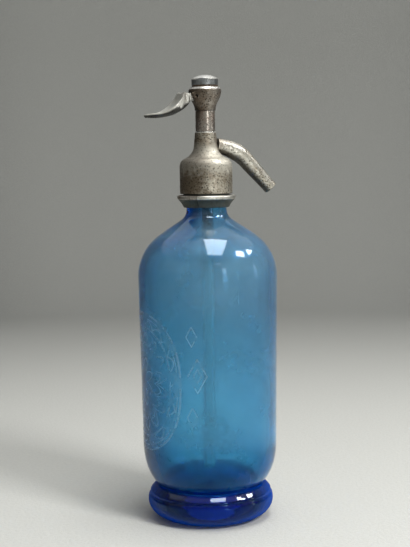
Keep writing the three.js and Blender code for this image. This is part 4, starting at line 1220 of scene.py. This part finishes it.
def lever_metal():
    s = Shade("lever_tin")
    painted_shade = s.attribute("painted_shade")
    brushed = s.noise(1.3, 4.0, 0.7, at=s.stretched(0.25, 1.6, 0.25))
    blot = s.span(s.noise(0.2, 4.0, 0.6), 0.42, 0.66)
    # Lit and shaded copies of one tin: a painted highlight tone on top, painted shade below
    top = s.blend(s.mul(blot, 0.45), (0.96, 0.95, 0.89), (0.66, 0.63, 0.55))
    low = s.blend(blot, (0.060, 0.058, 0.054), (0.022, 0.021, 0.019))
    s.set(
        Base_Color=s.blend(painted_shade, top, low), Metallic=s.span(painted_shade, 0, 1, 1.0, 0.8),
        Roughness=s.add(s.span(brushed, 0.3, 0.7, 0.3, 0.46), s.mul(painted_shade, 0.15)),
        Normal=s.bump(s.add(brushed, s.mul(s.noise(0.9, 3.0), 0.6)), 0.10),
    )
    return s.material


def mark_lever(obj):
    """Painted shade on the lower part of the leaf, below the painted lit band along its top edge."""
    values = []
    for vertex in obj.data.vertices:
        x, z = vertex.co.x / MM - PIVOT.x, vertex.co.z / MM - PIVOT.z
        dark_from = curve_through(LEVER_TOP, x) - curve_through(LEVER_LIT_BAND, x)
        # The plate in the slot gets part of the painted shade
        values.append(0.6 if x > -4.0 else 1 - smooth(dark_from - 0.7, dark_from + 0.1, z))
    mark(obj, "painted_shade", values)
    return obj


piece(mark_lever(lever()), lever_metal(), "lever_arm", "lever_metal", "lever")


# Valve spring
def valve_spring():
    """A helix between the piston head and its washer, as many turns as the CAD one."""
    low, high = (corner.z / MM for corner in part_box("valve_spring"))
    steps, sides = 200, 12
    verts = []
    for i in range(steps + 1):
        share = i / steps
        angle = share * SPRING_TURNS * math.tau
        out = Vector((math.cos(angle), math.sin(angle), 0))
        rise = low + SPRING_WIRE + share * (high - low - 2 * SPRING_WIRE)
        centre = out * SPRING_COIL + UP * rise
        for k in range(sides):
            around = k / sides * math.tau
            verts.append(tuple(centre + (out * math.cos(around) + UP * math.sin(around)) * SPRING_WIRE))
    faces = [
        (i * sides + k, i * sides + (k + 1) % sides, (i + 1) * sides + (k + 1) % sides, (i + 1) * sides + k)
        for i in range(steps) for k in range(sides)
    ]
    faces += [tuple(range(sides - 1, -1, -1)), tuple(steps * sides + k for k in range(sides))]
    return mesh_object("valve_spring_wire", verts, faces, 60)


spring_piece = piece(
    valve_spring(), brass("spring_bronze", (0.52, 0.40, 0.22)), "root", "spring_metal", "valve_spring",
)
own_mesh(spring_piece)


# CAD nodes that stay
valve_brass = brass("valve_brass")
rubber = soft_seal("rubber_seal", (0.045, 0.038, 0.033), (0.10, 0.085, 0.07))
leather = soft_seal("leather_seal", (0.10, 0.06, 0.035), (0.05, 0.035, 0.025))
inner_tin = worn_metal("inner_tin", (0.52, 0.49, 0.43), (0.22, 0.19, 0.15), grain=0.5, pits=0.2)
KEPT = {
    "tube_sleeve": rubber, "mouth_gasket": rubber, "head_gasket": rubber, "valve_disc": rubber,
    "stem_packing": leather, "cap_washer": leather, "tube_holder": inner_tin,
    "valve_seat": valve_brass, "gland_nut": valve_brass, "spring_washer": valve_brass,
    "valve_cup": valve_brass, "piston_rod": valve_brass, "piston_head": valve_brass,
}
for node_name, node_material in KEPT.items():
    dress(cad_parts[node_name], node_material)


# Stage: a pale floor that curves up into a grey wall. A corner of painted shade is a direction and a depth.
FLOOR_EDGE = 900
WALL_CENTRE = 1150
WALL_CURVE = 500
WALL_TOP = (1650, 1400)
SHADED_CORNERS = ((Vector((-0.669, 0.743, 0)), 0.85), (Vector((0.978, 0.208, 0)), 0.5))


def stage_paper():
    s = Shade("stage_paper")
    speck = s.noise(0.35, 3.0, 0.7)
    distance = s.vector("LENGTH", s.place)
    tone = s.blend(s.span(distance, 300, 1300), (0.60, 0.605, 0.58), (0.37, 0.375, 0.36))
    flat = s.vector("NORMALIZE", s.stretched(1, 1, 0))
    for heading, depth in SHADED_CORNERS:
        facing = s.node("ShaderNodeVectorMath", operation="DOT_PRODUCT")
        s.put(facing.inputs[0], flat)
        s.put(facing.inputs[1], heading)
        # Painted shade darkening the wall in that direction
        dim = s.mul(s.span(facing.outputs["Value"], 0.64, 0.94), s.span(distance, 950, 1300))
        tone = s.blend(s.mul(dim, depth), tone, (0.03, 0.03, 0.03))
    s.set(
        Base_Color=s.blend(s.span(speck, 0.3, 0.7, 0.0, 0.25), tone, (0.45, 0.45, 0.43)), Roughness=0.95,
        Specular_IOR_Level=0.1, Normal=s.bump(speck, 0.5),
    )
    return s.material


stage_outline = [(0, 0), (300, 0), (FLOOR_EDGE, 0)]
stage_outline += arc(WALL_CENTRE, WALL_CURVE, WALL_CURVE, WALL_CURVE, -90, 0, 24) + [WALL_TOP]
stage = turned("stage", stage_outline, 128)
for polygon in stage.data.polygons:
    polygon.flip()
dress(stage, stage_paper())


# Light and camera, with the lamps in metres
def area_light(name, place, aim, size, radiance, colour=(1, 1, 1), turn=0.0):
    """A rectangular lamp at place that faces aim. radiance is what a mirror would show of it."""
    data = bpy.data.lights.new(name, "AREA")
    data.shape = "RECTANGLE"
    data.size, data.size_y = size
    data.energy = radiance * size[0] * size[1] * math.pi
    data.color = colour
    lamp = linked(name, data)
    lamp.location = place
    facing = (Vector(aim) - Vector(place)).to_track_quat("-Z", "Y")
    lamp.rotation_mode = "QUATERNION"
    lamp.rotation_quaternion = facing @ Matrix.Rotation(math.radians(turn), 3, "Z").to_quaternion()
    return lamp


MIDDLE = (0, 0, 0.25)
SHOULDER_AIM = (0, 0, 0.2)
area_light("ceiling", (0.155, -0.40, 1.65), (0.155, -0.40, 0), (0.62, 1.25), 6.8, (1.0, 0.995, 0.97), -13)
near = area_light("lamp_near", (1.21, -0.72, 1.59), SHOULDER_AIM, (0.42, 0.42), 17.0, turn=45)
far = area_light("lamp_far", (1.62, -0.20, 1.40), SHOULDER_AIM, (0.40, 0.40), 17.0, turn=45)
near.visible_diffuse = False
far.visible_diffuse = False
soft = area_light("right_soft", (0.60, -1.25, 1.10), (0, 0, 0.05), (0.42, 0.42), 38.0, (1.0, 0.995, 0.98))
soft.visible_glossy = False
soft.visible_transmission = False
area_light("streak", (0.23, -1.30, 0.40), MIDDLE, (0.14, 0.70), 4.6, (1.0, 0.99, 0.96))
area_light("front_strip", (0.0, -1.66, 1.29), MIDDLE, (0.34, 0.16), 3.0)
area_light("side_strip", (1.35, -0.55, 0.30), MIDDLE, (0.10, 0.75), 2.5, (1.0, 0.99, 0.97))
def soft_sky():
    """A dim room that brightens evenly towards the ceiling behind the object."""
    world = bpy.data.worlds.new("studio")
    world.use_nodes = True
    tree = world.node_tree
    heading = tree.nodes.new("ShaderNodeTexCoord").outputs["Generated"]
    lean = tree.nodes.new("ShaderNodeVectorMath")
    lean.operation = "DOT_PRODUCT"
    tree.links.new(heading, lean.inputs[0])
    lean.inputs[1].default_value = Vector((0.25, 0.53, 0.81))
    level = tree.nodes.new("ShaderNodeMapRange")
    level.interpolation_type = "SMOOTHSTEP"
    tree.links.new(lean.outputs["Value"], level.inputs["Value"])
    for key, value in (("From Min", 0.1), ("From Max", 1.0), ("To Min", 0.08), ("To Max", 0.60)):
        level.inputs[key].default_value = value
    background = tree.nodes["Background"]
    background.inputs["Color"].default_value = (1, 1, 0.99, 1)
    tree.links.new(level.outputs["Result"], background.inputs["Strength"])
    return world


bpy.context.scene.world = soft_sky()

camera_data = bpy.data.cameras.new("camera")
camera_data.sensor_width = SENSOR_MM
camera_data.lens = FOCAL_PX / IMAGE_HEIGHT_PX * SENSOR_MM
camera_data.clip_start, camera_data.clip_end = 0.01, 20
camera = linked("camera", camera_data)
ahead = Vector((math.sin(CAMERA_AZIMUTH), math.cos(CAMERA_AZIMUTH), 0))
right = Vector((math.cos(CAMERA_AZIMUTH), -math.sin(CAMERA_AZIMUTH), 0))
forward = ahead * math.cos(CAMERA_PITCH) - UP * math.sin(CAMERA_PITCH)
above = right.cross(forward)
axis_x = right * math.cos(CAMERA_ROLL) - above * math.sin(CAMERA_ROLL)
axis_y = right * math.sin(CAMERA_ROLL) + above * math.cos(CAMERA_ROLL)
where = (UP * CAMERA_HEIGHT - ahead * CAMERA_DISTANCE - right * CAMERA_SHIFT_LEFT) * MM
turn = Matrix((axis_x, axis_y, -forward)).transposed().to_4x4()
camera.matrix_world = Matrix.Translation(where) @ turn
bpy.context.scene.camera = camera
bpy.context.scene.view_settings.view_transform = "Standard"
